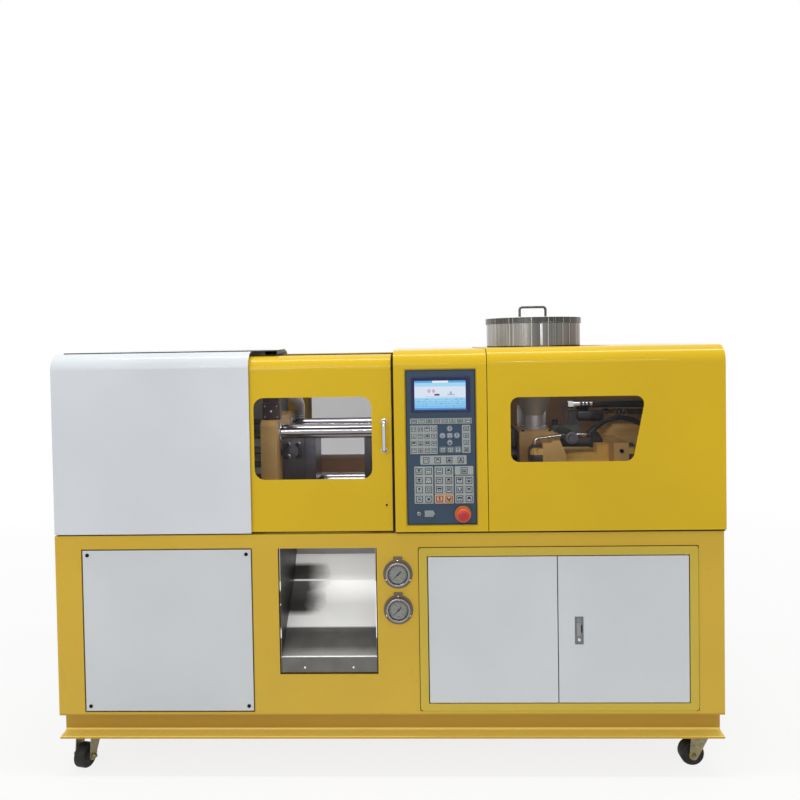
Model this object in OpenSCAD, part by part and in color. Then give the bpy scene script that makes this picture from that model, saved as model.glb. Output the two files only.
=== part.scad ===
// Small horizontal injection molding machine on casters.
// X runs along the machine, clamp unit at -X and injection unit at +X.
// Y runs from the operator's side (-Y) to the back, Z is up from the floor.

/* [Length of the sections] */
// Clamp section, from the left end to the safety door
clamp_l = 582; // [520:1:720]
// Mold section, the safety door to the control column
mold_l = 418; // [400:1:520]
// Control column
column_l = 268; // [240:1:330]
// Injection section, from the column to the right end
injection_l = 668; // [600:1:820]

/* [Base cabinet] */
// Depth of the base, front to back
base_d = 620; // [600:1:760]
// Height of the base walls
base_h = 526; // [500:1:640]
// Sheet of the base walls, deck and floor
base_t = 4; // [3:0.5:6]
// Height of the channel frame under the base
plinth_h = 74; // [60:1:100]
// Flange width of that channel
plinth_flange = 43; // [35:1:50]
// Flange thickness of that channel
plinth_flange_t = 6; // [5:0.5:9]
// Web thickness of that channel
plinth_web_t = 5; // [4:0.5:8]
// Levelling hole in the corner plates
foot_bore = 17; // [13:0.5:21]
// Height of the casters under the channel frame
caster_h = 116; // [100:1:130]

/* [Covers] */
// Height of the clamp and injection covers
cover_h = 526; // [500:1:600]
// Gap between the base and the covers
cover_gap = 6; // [4:1:12]
// How far the covers stand out past the base
cover_out = 8; // [4:1:15]
// Sheet of the covers
cover_t = 3; // [2:0.5:4]
// Radius of the covers' long top edges
cover_r = 46; // [25:1:60]

/* [Safety door] */
// Top of the door below the top of the covers
door_drop = 15; // [12:1:30]
// Clear space between the door and the cover it slides under
door_clear = 6; // [5:1:10]
// Window width
window_w = 342; // [250:1:345]
// Window height
window_h = 238; // [180:1:260]
// Window corner radius
window_r = 30; // [15:1:40]
// Bow handle length between its feet
handle_l = 95; // [80:1:130]
// Bow handle rod
handle_d = 11; // [8:0.5:14]

/* [Electrical cabinet] */
// Side walls of the base left of and right of the cabinet
cabinet_margin = 74; // [60:1:100]
// Height of the cabinet's frame
cabinet_h = 475; // [400:1:480]
// Width of the frame's face
cabinet_rim = 24; // [18:1:30]
// Depth of the cabinet
cabinet_d = 230; // [180:1:260]
// Gap round and between the doors
cabinet_gap = 3; // [2:0.5:4]
// Depth of the doors' folded edges
cabinet_fold = 18; // [12:1:24]

/* [Chute] */
// Width of the chute
chute_w = 287; // [240:1:300]
// Bottom of the chute's mouth above the base's lower edge
chute_rise = 115; // [90:1:140]
// Height of the mouth
chute_h = 370; // [300:1:385]
// Height of the lip across the mouth
chute_lip = 50; // [30:1:60]
// Depth of the chute at the top
chute_d = 300; // [240:1:330]

/* [Clamp unit] */
// Height of the machine's axis above the deck
axis_h = 179; // [170:1:190]
// Tie bar diameter
bar_d = 44; // [36:1:48]
// Tie bar spacing, across
bar_y = 200; // [190:1:220]
// Tie bar spacing, up
bar_z = 190; // [185:1:200]
// Platen width
platen_w = 320; // [300:1:340]
// Platen height
platen_h = 300; // [290:1:306]
// Thickness of the fixed platen
fixed_t = 92; // [70:1:100]
// Thickness of the tail platen
tail_t = 80; // [60:1:90]
// Thickness of the moving platen
moving_t = 50; // [40:1:70]
// Height of the moving platen
moving_h = 276; // [270:1:300]
// Opening stroke that is left to close
clamp_stroke = 153; // [120:1:160]
// Thickness of the moving half of the mold
mold_moving_t = 107; // [90:1:125]
// Thickness of the fixed half of the mold
mold_fixed_t = 34; // [25:1:40]
// Clear space between the mold and the tie bars
mold_clear = 7; // [5:0.5:20]
// Locating bore in the platens
locating_d = 80; // [60:1:90]

/* [Injection unit] */
// Hopper diameter
hopper_d = 300; // [260:1:310]
// Height of the hopper's straight wall
hopper_wall = 86; // [60:1:120]
// Hopper sheet
hopper_t = 2; // [1.5:0.5:3]
// Hopper neck diameter
neck_d = 60; // [50:1:70]
// Length of the neck above its flange
neck_h = 36; // [20:1:60]
// Barrel diameter
barrel_d = 82; // [70:1:90]
// Injection cylinder diameter
ram_d = 72; // [60:1:80]
// Distance between the injection cylinders
ram_y = 200; // [190:1:210]
// Length of the injection cylinders
ram_l = 143; // [120:1:170]
// Width of the carriage across its two heads
carriage_w = 380; // [360:1:420]
// Guide rod diameter
guide_d = 32; // [25:1:36]
// Distance between the guide rods
guide_span = 240; // [230:1:260]
// Stroke of the carriage away from the mold
carriage_stroke = 80; // [40:1:90]

/* [Casters] */
// Wheel diameter
wheel_d = 70; // [60:1:80]
// Wheel width
wheel_w = 32; // [25:1:34]
// Trail of the wheel behind the swivel
caster_trail = 20; // [16:1:32]

/* [Hidden] */
$fn = 48;
eps = 0.01;

// Plan of the sections along X
machine_l = clamp_l + mold_l + column_l + injection_l;
x_left = -machine_l / 2;
x_door = x_left + clamp_l;
x_column = x_door + mold_l;
x_injection = x_column + column_l;
x_right = machine_l / 2;
seam = 4;
column_seam = 2;

// Levels
z_plinth = caster_h;
z_base = z_plinth + plinth_h;
z_deck = z_base + base_h;
z_cover = z_deck + cover_gap;
z_top = z_cover + cover_h;
z_axis = z_deck + axis_h;
column_drop = 3;
z_door_top = z_top - door_drop;

// Planes across Y: the origin lies midway between the emergency stop and the back covers
stop_d = 40;
stop_reach = 27;
hmi_proud = 1;
y_front = -(base_d - stop_reach - hmi_proud) / 2;
y_back = y_front + base_d;
y_axis = (y_front + y_back) / 2;
y_cover = y_front - cover_out;
y_cover_back = y_back + cover_out;
y_door = y_cover + cover_t + door_clear;

// Clamp unit along X
x_fixed = x_column - 72;
x_mold_fixed = x_fixed - mold_fixed_t;
mold_rest_gap = 5;
x_mold_moving = x_mold_fixed - mold_rest_gap - clamp_stroke;
x_moving = x_mold_moving - mold_moving_t;
x_tail = x_left + 70;
bar_clear = 0.5;
mold_s = bar_y - bar_d - 2 * mold_clear;
nut_t = 26;
nut_af = 62;
bar_end = 12;

// Injection unit: the feed block, the cylinders, the rear head and its housing follow each other
x_throat = x_injection + 119;
throat_l = 128;
throat_in = 96;
x_hopper = x_injection + 179;
x_ram = x_throat + throat_l;
x_rear = x_ram + ram_l;
rear_t = 45;
x_housing = x_rear + rear_t;
housing_l = 100;
x_motor = x_housing + housing_l;
nozzle_clear = 6;
hood_clear = 8;
guide_y = guide_span / 2;
z_guide = z_deck + 52;
z_throat = z_axis + 84;
throat_step = 11;
z_ram = z_axis - 17;
y_ram = y_axis - ram_y / 2;

// Casters: corner, and the direction in which each wheel trails
caster_in_x = 50;
caster_in_y = 80;
CASTERS = [
    [-1, -1, 258],
    [1, -1, 180],
    [-1, 1, 160],
    [1, 1, 75]
];
plate_t = 4;
race_d = 52;
race_h = 12;
race_gap = 0.4;
fork_t = 3;
fork_side = 8;
axle_d = 8;
kingpin_d = 12;

// ---------------------------------------------------------------- shapes

// Box from its lower corner to its upper corner.
module box(a, b) {
    translate(a) cube(b - a);
}

// Rectangle from corner a to corner b with round corners.
module round_rect(a, b, r) {
    union() {
        translate([a[0] + r, a[1]]) square([b[0] - a[0] - 2 * r, b[1] - a[1]]);
        translate([a[0], a[1] + r]) square([b[0] - a[0], b[1] - a[1] - 2 * r]);
        for (x = [a[0] + r, b[0] - r], y = [a[1] + r, b[1] - r])
            translate([x, y]) circle(r);
    }
}

// A drawing in X and Z, given thickness from y0 back to y1.
module front_plate(y0, y1) {
    translate([0, y1, 0]) rotate([90, 0, 0]) linear_extrude(y1 - y0) children();
}

// A drawing in Y and Z, given length from x0 to x1.
module profile_x(x0, x1) {
    translate([x0, 0, 0]) rotate([90, 0, 90]) linear_extrude(x1 - x0) children();
}

// Cylinders along each axis, from one end.
module rod_x(p, d, l) {
    translate(p) rotate([0, 90, 0]) cylinder(d = d, h = l);
}
module rod_y(p, d, l) {
    translate(p) rotate([-90, 0, 0]) cylinder(d = d, h = l);
}
module rod_z(p, d, l) {
    translate(p) cylinder(d = d, h = l);
}

// Bent round bar: two legs along Z at both ends of a bar of length w along X.
module bow(w, h, d, bend) {
    union() {
        rod_x([bend - w / 2, 0, h], d, w - 2 * bend);
        for (side = [0, 1]) mirror([side, 0, 0]) {
            rod_z([w / 2, 0, 0], d, h - bend);
            translate([w / 2 - bend, 0, h - bend]) rotate([90, 0, 0])
                rotate_extrude(angle = 90) translate([bend, 0]) circle(d = d);
        }
    }
}

// Round bar bent in an upright plane along X, round p with radius r, from angle a0 to a1.
module arc_xz(p, r, a0, a1, d) {
    translate(p) rotate([90, 0, 0]) rotate([0, 0, a0])
        rotate_extrude(angle = a1 - a0) translate([r, 0]) circle(d = d);
}

// Straight round bar from p in an upright plane along X, a degrees above +X.
module slope_xz(p, a, d, l) {
    translate(p) rotate([0, 90 - a, 0]) cylinder(d = d, h = l);
}

// Hexagon across flats, along X.
module hex_x(p, af, l) {
    translate(p) rotate([0, 90, 0]) cylinder(d = af / cos(30), h = l, $fn = 6);
}

// Outline in Y and Z of a saddle cover: two legs and a top with round long edges.
module saddle(y0, y1, z0, z1, r) {
    union() {
        translate([y0, z0]) square([y1 - y0, z1 - z0 - r]);
        translate([y0 + r, z1 - r - eps]) square([y1 - y0 - 2 * r, r + eps]);
        for (y = [y0 + r, y1 - r]) translate([y, z1 - r]) circle(r);
    }
}

// Folded feet that carry a cover on the deck, inside both legs, at each x.
module cover_feet(xs, w) {
    for (x = xs, side = [0, 1]) mirror_y(side)
        box([x, y_cover + cover_t - eps, z_deck], [x + w, y_front + 26, z_cover + 18]);
}

// The sheet of a saddle cover, with each leg's own lower edge.
module saddle_sheet(y0, y1, z0, z1, r, t) {
    difference() {
        saddle(y0, y1, z0, z1, r);
        translate([0, -eps]) saddle(y0 + t, y1 - t, z0 - eps, z1 - t + eps, r - t);
    }
}

// The children, or with side = 1 their mirror image in the machine's axis plane.
module mirror_y(side = 1) {
    translate([0, side * 2 * y_axis, 0]) mirror([0, side, 0]) children();
}

// Bars and screws repeat at the four corners of a rectangle centred on the axis.
module at_bars() {
    for (y = [-1, 1] * bar_y / 2, z = [-1, 1] * bar_z / 2)
        translate([0, y_axis + y, z_axis + z]) children();
}

// ---------------------------------------------------------------- base

// Rolled channel along X, open towards the outside, with flanges that taper to their edges.
module channel(l, w, h) {
    taper = 1.5;
    root = w - plinth_web_t;
    rotate([90, 0, 90]) linear_extrude(l) polygon([
        [0, 0], [w, 0], [w, h], [0, h],
        [0, h - plinth_flange_t + taper], [root, h - plinth_flange_t - taper],
        [root, plinth_flange_t + taper], [0, plinth_flange_t - taper]
    ]);
}

module plinth() {
    corner = 140;
    color("goldenrod") difference() {
        union() {
            for (side = [0, 1]) mirror([0, side, 0])
                translate([x_left, side == 0 ? y_front : -y_back, z_plinth])
                    channel(machine_l, plinth_flange, plinth_h);
            for (side = [0, 1]) mirror([side, 0, 0])
                box([x_left, y_front + plinth_flange, z_plinth],
                    [x_left + plinth_web_t, y_back - plinth_flange, z_base]);
            for (sx = [-1, 1], sy = [0, 1])
                translate([sx * (machine_l - corner) / 2 - corner / 2,
                           sy == 0 ? y_front + plinth_flange : y_back - plinth_flange - corner,
                           z_plinth])
                    cube([corner, corner, plinth_flange_t]);
        }
        for (sx = [-1, 1], y = foot_ys)
            rod_z([sx * foot_x, y, z_plinth - 1], foot_bore, plinth_flange_t + 2);
    }
}

// Levelling holes sit in the corner plates, inside the channel.
foot_x = machine_l / 2 - 118;
foot_ys = [y_front + plinth_flange + 100, y_back - plinth_flange - 100];

function caster_pos(c) = [
    c[0] * (machine_l / 2 - caster_in_x),
    c[1] < 0 ? y_front + caster_in_y : y_back - caster_in_y,
    0
];
z_race = z_plinth - plate_t - race_h;

module caster_plates() {
    color("darkkhaki") for (c = CASTERS) translate(caster_pos(c)) difference() {
        union() {
            translate([-40, -42, z_plinth - plate_t]) cube([80, 84, plate_t]);
            rod_z([0, 0, z_race], race_d, race_h + eps);
        }
        rod_z([0, 0, z_race - 1], kingpin_d + 2 * race_gap, race_h);
    }
}

// Swivelling fork with its axle, trailing towards +X before it is turned.
module caster_fork(c) {
    inner = wheel_w + 2 * fork_side;
    outer = inner + 2 * fork_t;
    z_axle = wheel_d / 2;
    z_crown = z_race - race_gap;
    color("darkkhaki") translate(caster_pos(c)) rotate([0, 0, c[2]]) {
        union() {
            rod_z([0, 0, z_crown - fork_t], outer, fork_t);
            translate([0, -outer / 2, z_crown - fork_t]) cube([caster_trail - 4, outer, fork_t]);
            rod_z([0, 0, z_crown - eps], kingpin_d, race_h - 2);
            for (y = [-outer / 2, inner / 2])
                front_plate(y, y + fork_t) polygon(concat(
                    [[-22, z_crown], [-22, z_crown - 12]],
                    [for (a = [210:30:360]) [caster_trail + 13 * cos(a), z_axle + 13 * sin(a)]],
                    [[caster_trail + 6, z_crown]]
                ));
            rod_y([caster_trail, -outer / 2 - 4, z_axle], axle_d, outer + 8);
            for (y = [-outer / 2 - 4, outer / 2])
                rod_y([caster_trail, y, z_axle], axle_d * 1.75, 4);
        }
    }
}

module caster_wheel(c) {
    hub_w = wheel_w + fork_side - 2;
    color("dimgray") translate(caster_pos(c)) rotate([0, 0, c[2]])
        translate([caster_trail, 0, wheel_d / 2]) rotate([-90, 0, 0]) rotate_extrude()
            polygon([
                [axle_d / 2 + 0.4, -hub_w / 2], [12, -hub_w / 2], [14, -hub_w / 2 + 5],
                [wheel_d / 2 - 11, -hub_w / 2 + 5], [wheel_d / 2 - 8, -wheel_w / 2],
                [wheel_d / 2 - 2, -wheel_w / 2], [wheel_d / 2, -wheel_w / 2 + 4],
                [wheel_d / 2, wheel_w / 2 - 4], [wheel_d / 2 - 2, wheel_w / 2],
                [wheel_d / 2 - 8, wheel_w / 2], [wheel_d / 2 - 11, hub_w / 2 - 5],
                [14, hub_w / 2 - 5], [12, hub_w / 2], [axle_d / 2 + 0.4, hub_w / 2]
            ]);
}

// Openings in the front wall
panel_x0 = x_left + 81;
panel_x1 = x_left + 577;
panel_z0 = z_base + 9;
panel_z1 = z_base + 483;
panel_gap = 4;
ledge = 16;
chute_x0 = x_left + 656;
chute_x1 = chute_x0 + chute_w;
chute_z0 = z_base + chute_rise;
chute_z1 = chute_z0 + chute_h;
gauge_x = x_column + 4;
GAUGE_Z = [z_base + 305, z_base + 409];
gauge_case_d = 62;
cab_x0 = x_column + 64.5;
cab_x1 = x_right - cabinet_margin;
cab_z0 = z_base + 9;
cab_z1 = cab_z0 + cabinet_h;
cab_proud = 3;
cab_r = 10;
cab_wall = 2;
cab_groove = [1.5, 2.5];

module base_front() {
    color("goldenrod") difference() {
        union() {
            box([x_left, y_front, z_base], [x_right, y_front + base_t, z_deck - base_t]);
            front_plate(y_front + base_t, y_front + base_t + 3)
                translate([panel_x0 - ledge, z_base + base_t])
                    square([panel_x1 - panel_x0 + 2 * ledge, panel_z1 - z_base - base_t + ledge / 2]);
        }
        front_plate(y_front - 1, y_front + base_t)
            translate([panel_x0 - panel_gap, panel_z0 - panel_gap])
                square([panel_x1 - panel_x0 + 2 * panel_gap, panel_z1 - panel_z0 + 2 * panel_gap]);
        front_plate(y_front + base_t - 1, y_front + base_t + 4)
            translate([panel_x0 + ledge, panel_z0 + ledge])
                square([panel_x1 - panel_x0 - 2 * ledge, panel_z1 - panel_z0 - 2 * ledge]);
        box([chute_x0, y_front - 1, chute_z0], [chute_x1, y_front + base_t + 1, chute_z1]);
        for (z = GAUGE_Z)
            rod_y([gauge_x, y_front - 1, z], gauge_case_d + 1, base_t + 2);
        front_plate(y_front - 1, y_front + base_t + 1)
            round_rect([cab_x0 + 6, cab_z0 + 6], [cab_x1 - 6, cab_z1 - 6], cab_r - 4);
        front_plate(y_front - 1, y_front + cab_groove[1]) difference() {
            w = cab_groove[0];
            round_rect([cab_x0 - w, cab_z0 - w], [cab_x1 + w, cab_z1 + w], cab_r + w);
            round_rect([cab_x0, cab_z0], [cab_x1, cab_z1], cab_r);
        }
    }
}

module base_back() {
    color("goldenrod")
        box([x_left, y_back - base_t, z_base], [x_right, y_back, z_deck - base_t]);
}

module base_ends() {
    color("goldenrod") for (side = [0, 1]) mirror([side, 0, 0])
        box([x_left, y_front + base_t, z_base], [x_left + base_t, y_back - base_t, z_deck - base_t]);
}

// The deck is open over the chute, so that parts drop out of the mold.
drop_y0 = y_front + 40;
drop_y1 = y_front + chute_d - 4;

module base_deck() {
    color("goldenrod") difference() {
        box([x_left, y_front, z_deck - base_t], [x_right, y_back, z_deck]);
        box([chute_x0 + 6, drop_y0, z_deck - base_t - 1], [chute_x1 - 6, drop_y1, z_deck + 1]);
    }
}

module base_floor() {
    color("goldenrod")
        box([x_left + base_t, y_front + base_t, z_base],
            [x_right - base_t, y_back - base_t, z_base + base_t]);
}

module access_panel() {
    color("gainsboro") {
        box([panel_x0, y_front, panel_z0], [panel_x1, y_front + base_t, panel_z1]);
    }
}

// Stainless chute: two cheeks, a steep back, a gentle floor and the lip across the mouth.
chute_t = 2;
chute_lap = 12;
chute_break = [87, 106];
chute_knee = [226, 204];
chute_steep = [chute_d, 295];

module chute_floor() {
    front = y_front + 6;
    polygon([
        [front, chute_z0 + chute_lip],
        [y_front + chute_break[0], chute_z0 + chute_break[1]],
        [y_front + chute_knee[0], chute_z0 + chute_knee[1]],
        [y_front + chute_steep[0], chute_z0 + chute_steep[1]],
        [y_front + chute_d, z_deck - base_t],
        [y_front + chute_d + chute_t, z_deck - base_t],
        [y_front + chute_steep[0] + chute_t, chute_z0 + chute_steep[1]],
        [y_front + chute_knee[0] + chute_t, chute_z0 + chute_knee[1] - chute_t],
        [y_front + chute_break[0] + chute_t, chute_z0 + chute_break[1] - chute_t],
        [front, chute_z0 + chute_lip - 2 * chute_t]
    ]);
}

module chute_cheek() {
    polygon([
        [y_front + base_t, chute_z0 + 4],
        [y_front + base_t, z_deck - base_t],
        [y_front + chute_d + chute_t, z_deck - base_t],
        [y_front + chute_d + chute_t, chute_z0 + chute_steep[1] - 4],
        [y_front + chute_knee[0] + 6, chute_z0 + chute_knee[1] - 10],
        [y_front + chute_break[0] + 6, chute_z0 + chute_break[1] - 10],
        [y_front + base_t + 40, chute_z0 + 4]
    ]);
}

module chute() {
    inset = 3;
    color("silver") union() {
        profile_x(chute_x0 + inset, chute_x1 - inset) chute_floor();
        profile_x(chute_x0 + inset, chute_x0 + inset + chute_t) chute_cheek();
        profile_x(chute_x1 - inset - chute_t, chute_x1 - inset) chute_cheek();
        box([chute_x0 + inset, y_front + 6, chute_z0 + 4],
            [chute_x1 - inset, y_front + 6 + chute_t, chute_z0 + chute_lip]);
        box([chute_x0 + inset, y_front + 6, chute_z0 + 4],
            [chute_x1 - inset, y_front + base_t + 40, chute_z0 + 4 + chute_t]);
    }
}

module pressure_gauges() {
    flange_d = 85;
    bezel_d = 70;
    glass_d = 58;
    color("dimgray") for (z = GAUGE_Z) difference() {
        union() {
            rod_y([gauge_x, y_front - 3, z], flange_d, 3);
            rod_y([gauge_x, y_front - 12, z], bezel_d, 10);
            rod_y([gauge_x, y_front - eps, z], gauge_case_d, 42);
            rod_y([gauge_x, y_front + 40, z], 14, 22);
            box([gauge_x - 13, y_front - 3, z + 34], [gauge_x + 13, y_front, z + 50]);
        }
        rod_y([gauge_x, y_front - 13, z], glass_d, 5);
    }
}

// ---------------------------------------------------------------- electrical cabinet

door_y0 = y_front - cab_proud;
cab_in_x0 = cab_x0 + cabinet_rim;
cab_in_x1 = cab_x1 - cabinet_rim;
cab_in_z0 = cab_z0 + cabinet_rim - 3;
cab_in_z1 = cab_z1 - cabinet_rim;
cab_mid = (cab_in_x0 + cab_in_x1) / 2 - 1;
cab_y1 = y_front + cabinet_d;

hinge_in = 6;
hinge_d = 6;
hinge_clear = 0.1;
hinge_y = door_y0 + hinge_in;
HINGE_X = [cab_in_x0 + cabinet_gap + hinge_in, cab_in_x1 - cabinet_gap - hinge_in];
hinge_reach = cabinet_gap + cab_wall + 6;

module electrical_box() {
    color("gold") union() {
        difference() {
            front_plate(door_y0, y_front) round_rect([cab_x0, cab_z0], [cab_x1, cab_z1], cab_r);
            box([cab_in_x0, door_y0 - 1, cab_in_z0], [cab_in_x1, y_front + 1, cab_in_z1]);
        }
        difference() {
            box([cab_in_x0 - cab_wall - 8, y_front - eps, cab_in_z0 - cab_wall - 5],
                [cab_in_x1 + cab_wall + 8, cab_y1, cab_in_z1 + cab_wall + 8]);
            box([cab_in_x0 - 8, y_front - 1, cab_in_z0 - 5],
                [cab_in_x1 + 8, cab_y1 - cab_wall, cab_in_z1 + 8]);
        }
        for (x = HINGE_X) {
            rod_z([x, hinge_y, cab_in_z0 - 5 - eps], hinge_d, 5 + hinge_reach);
            rod_z([x, hinge_y, cab_in_z1 - hinge_reach], hinge_d, 8 + hinge_reach + eps);
        }
    }
}

// Folded sheet door from x0 to x1.
module cabinet_leaf(x0, x1) {
    z0 = cab_in_z0 + cabinet_gap;
    z1 = cab_in_z1 - cabinet_gap;
    difference() {
        box([x0, door_y0, z0], [x1, door_y0 + cabinet_fold, z1]);
        box([x0 + cab_wall, door_y0 + cab_wall, z0 + cab_wall],
            [x1 - cab_wall, door_y0 + cabinet_fold + 1, z1 - cab_wall]);
        for (x = HINGE_X)
            rod_z([x, hinge_y, z0 - 1], hinge_d + 2 * hinge_clear, z1 - z0 + 2);
    }
}

latch_x0 = cab_mid + cabinet_gap / 2 + 46;
latch_z0 = z_base + 202;
latch_w = 25;
latch_h = 81;

module cabinet_door_left() {
    color("gainsboro") cabinet_leaf(cab_in_x0 + cabinet_gap, cab_mid - cabinet_gap / 2);
}

module cabinet_door_right() {
    color("gainsboro") difference() {
        cabinet_leaf(cab_mid + cabinet_gap / 2, cab_in_x1 - cabinet_gap);
        box([latch_x0, door_y0 - 1, latch_z0], [latch_x0 + latch_w, door_y0 + 5, latch_z0 + latch_h]);
    }
}

// Flush latch: a tray in the door with a flat lever and a round push button.
module cabinet_latch() {
    color("gray") union() {
        difference() {
            box([latch_x0, door_y0 - 1, latch_z0], [latch_x0 + latch_w, door_y0 + 12, latch_z0 + latch_h]);
            box([latch_x0 + 2, door_y0 - 2, latch_z0 + 2],
                [latch_x0 + latch_w - 2, door_y0 + 1, latch_z0 + latch_h - 2]);
        }
        box([latch_x0 + 5, door_y0 - 1, latch_z0 + 5],
            [latch_x0 + latch_w - 5, door_y0 + 2, latch_z0 + 52]);
        rod_y([latch_x0 + latch_w / 2, door_y0 - 1, latch_z0 + 67], 13, 3);
    }
}

// ---------------------------------------------------------------- clamp cover and doors

module clamp_cover() {
    color("gainsboro") difference() {
        union() {
            profile_x(x_left + seam, x_door)
                saddle_sheet(y_cover, y_cover_back, z_deck, z_top, cover_r, cover_t);
            profile_x(x_left + seam, x_left + seam + cover_t)
                saddle(y_cover, y_cover_back, z_deck, z_top, cover_r);
        }
        box([x_left, y_cover - 1, z_deck - 1], [x_door + 1, y_front, z_cover]);
        box([x_left, y_back, z_deck - 1], [x_door + 1, y_cover_back + 1, z_cover]);
    }
}

// Roof plate on the cover, with its end turned down just over the door.
roof_t = 3;
roof_out = 78;
roof_lip = 9;
module clamp_roof() {
    x1 = x_door + roof_out;
    color("silver") union() {
        box([x_left + 23, y_cover + cover_r, z_top], [x1, y_cover_back - cover_r, z_top + roof_t]);
        box([x1 - roof_t, y_cover + cover_r, z_top - roof_lip],
            [x1, y_cover_back - cover_r, z_top + roof_t]);
    }
}

// Door: the sheet from the front face over the round edge to a short top.
door_x0 = x_door - 34;
door_x1 = x_column - 8;
door_top_d = 90;
door_foot_gap = 0.5;
door_z0 = z_cover + 2;
rail_t = 8;
rail_y = y_door + 22;
rail_z = z_deck + 16;
bar_rail_d = 14;
bar_rail_y = y_door + 26;
bar_rail_z = z_door_top - 40;
window_x0 = x_door + 11;
window_z0 = z_deck + 159;
shoe_w = 60;
handle_reach = 26;

module door_profile() {
    r = cover_r - 6;
    difference() {
        union() {
            translate([y_door, door_z0]) square([cover_t, z_door_top - r - door_z0]);
            translate([y_door + r, z_door_top - cover_t]) square([door_top_d - r, cover_t]);
            intersection() {
                translate([y_door, z_door_top - r]) square([r, r]);
                difference() {
                    translate([y_door + r, z_door_top - r]) circle(r);
                    translate([y_door + r, z_door_top - r]) circle(r - cover_t);
                }
            }
        }
    }
}

module window_hole(x0, z0, w, h, r) {
    round_rect([x0, z0], [x0 + w, z0 + h], r);
}

module safety_door() {
    color("gold") difference() {
        union() {
            profile_x(door_x0, door_x1) door_profile();
            for (x = [door_x0, door_x1 - cover_t])
                box([x, y_door + cover_t - eps, door_z0],
                    [x + cover_t, y_door + 16, z_door_top - cover_r]);
            for (x = [door_x0 + 12, door_x1 - 12 - shoe_w]) {
                box([x, y_door + cover_t - eps, door_z0],
                    [x + shoe_w, rail_y + rail_t + 8, door_z0 + 24]);
                box([x + 15, y_door + cover_t - eps, bar_rail_z - 14],
                    [x + 45, bar_rail_y + 14, bar_rail_z + 14]);
            }
        }
        front_plate(y_door - 1, y_door + cover_t + 1)
            window_hole(window_x0, window_z0, window_w, window_h, window_r);
        box([door_x0 - 1, rail_y - door_foot_gap, z_cover],
            [door_x1 + 1, rail_y + rail_t + door_foot_gap, rail_z + door_foot_gap]);
        rod_x([door_x0 - 1, bar_rail_y, bar_rail_z], bar_rail_d + 1, door_x1 - door_x0 + 2);
    }
}

module safety_door_window() {
    lap = 14;
    color([0.7, 0.75, 0.8, 0.3])
        box([window_x0 - lap, y_door + cover_t, window_z0 - lap],
            [window_x0 + window_w + lap - 6, y_door + cover_t + 4, window_z0 + window_h + lap]);
}

module safety_door_handle() {
    x = door_x1 - 21;
    z = z_deck + 236 + handle_l / 2;
    w = handle_l - handle_d;
    color("silver") union() {
        translate([x, y_door, z]) rotate([0, 90, 90]) rotate([180, 0, 0])
            bow(w, handle_reach, handle_d, 13);
        for (s = [-1, 1])
            rod_y([x, y_door - 3, z + s * w / 2], handle_d + 7, 3);
    }
}

module door_rails() {
    color("silver") {
        box([x_left + seam + cover_t, rail_y, z_deck], [x_column, rail_y + rail_t, rail_z]);
        rod_x([x_left + seam + cover_t, bar_rail_y, bar_rail_z], bar_rail_d,
              x_column - x_left - seam - cover_t);
    }
}

// The guard's window starts farther right and lower than the door's.
guard_in = 75;
guard_low = 23;
module guard_hole() {
    window_hole(window_x0 + guard_in, window_z0 - guard_low,
                window_w - guard_in, window_h + guard_low, window_r);
}

module rear_guard() {
    color("gold") difference() {
        union() {
            mirror_y() profile_x(x_door, x_column - 2) guard_profile();
            for (x = [x_door, x_column - 2 - cover_t])
                box([x, y_cover_back - 22, z_cover],
                    [x + cover_t, y_cover_back - cover_t + eps, z_door_top - cover_r]);
            for (x = [x_door, x_column - 2 - 30])
                box([x, y_back - 24, z_deck], [x + 30, y_cover_back - cover_t + eps, z_cover + 20]);
        }
        front_plate(y_cover_back - cover_t - 1, y_cover_back + 1) guard_hole();
        box([x_door - 1, y_back, z_deck - 1], [x_column, y_cover_back + 1, z_cover]);
    }
}

module guard_profile() {
    top_d = 60;
    union() {
        translate([y_cover, z_cover]) square([cover_t, z_door_top - cover_r - z_cover]);
        translate([y_cover + cover_r, z_door_top - cover_t]) square([top_d, cover_t]);
        intersection() {
            translate([y_cover, z_door_top - cover_r]) square([cover_r, cover_r]);
            difference() {
                translate([y_cover + cover_r, z_door_top - cover_r]) circle(cover_r);
                translate([y_cover + cover_r, z_door_top - cover_r]) circle(cover_r - cover_t);
            }
        }
    }
}

module rear_guard_window() {
    lap = 14;
    color([0.7, 0.75, 0.8, 0.3])
        box([window_x0 + guard_in - lap, y_cover_back - cover_t - 4, window_z0 - guard_low - lap],
            [window_x0 + window_w + lap, y_cover_back - cover_t, window_z0 + window_h + lap]);
}

// ---------------------------------------------------------------- control column

hmi_x0 = x_column + 34;
hmi_w = 200;
hmi_z0 = z_cover + 21;
hmi_h = 445;
hmi_gap = 3;
y_hmi = y_cover - hmi_proud;

x_column_end = x_injection - column_seam;

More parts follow.
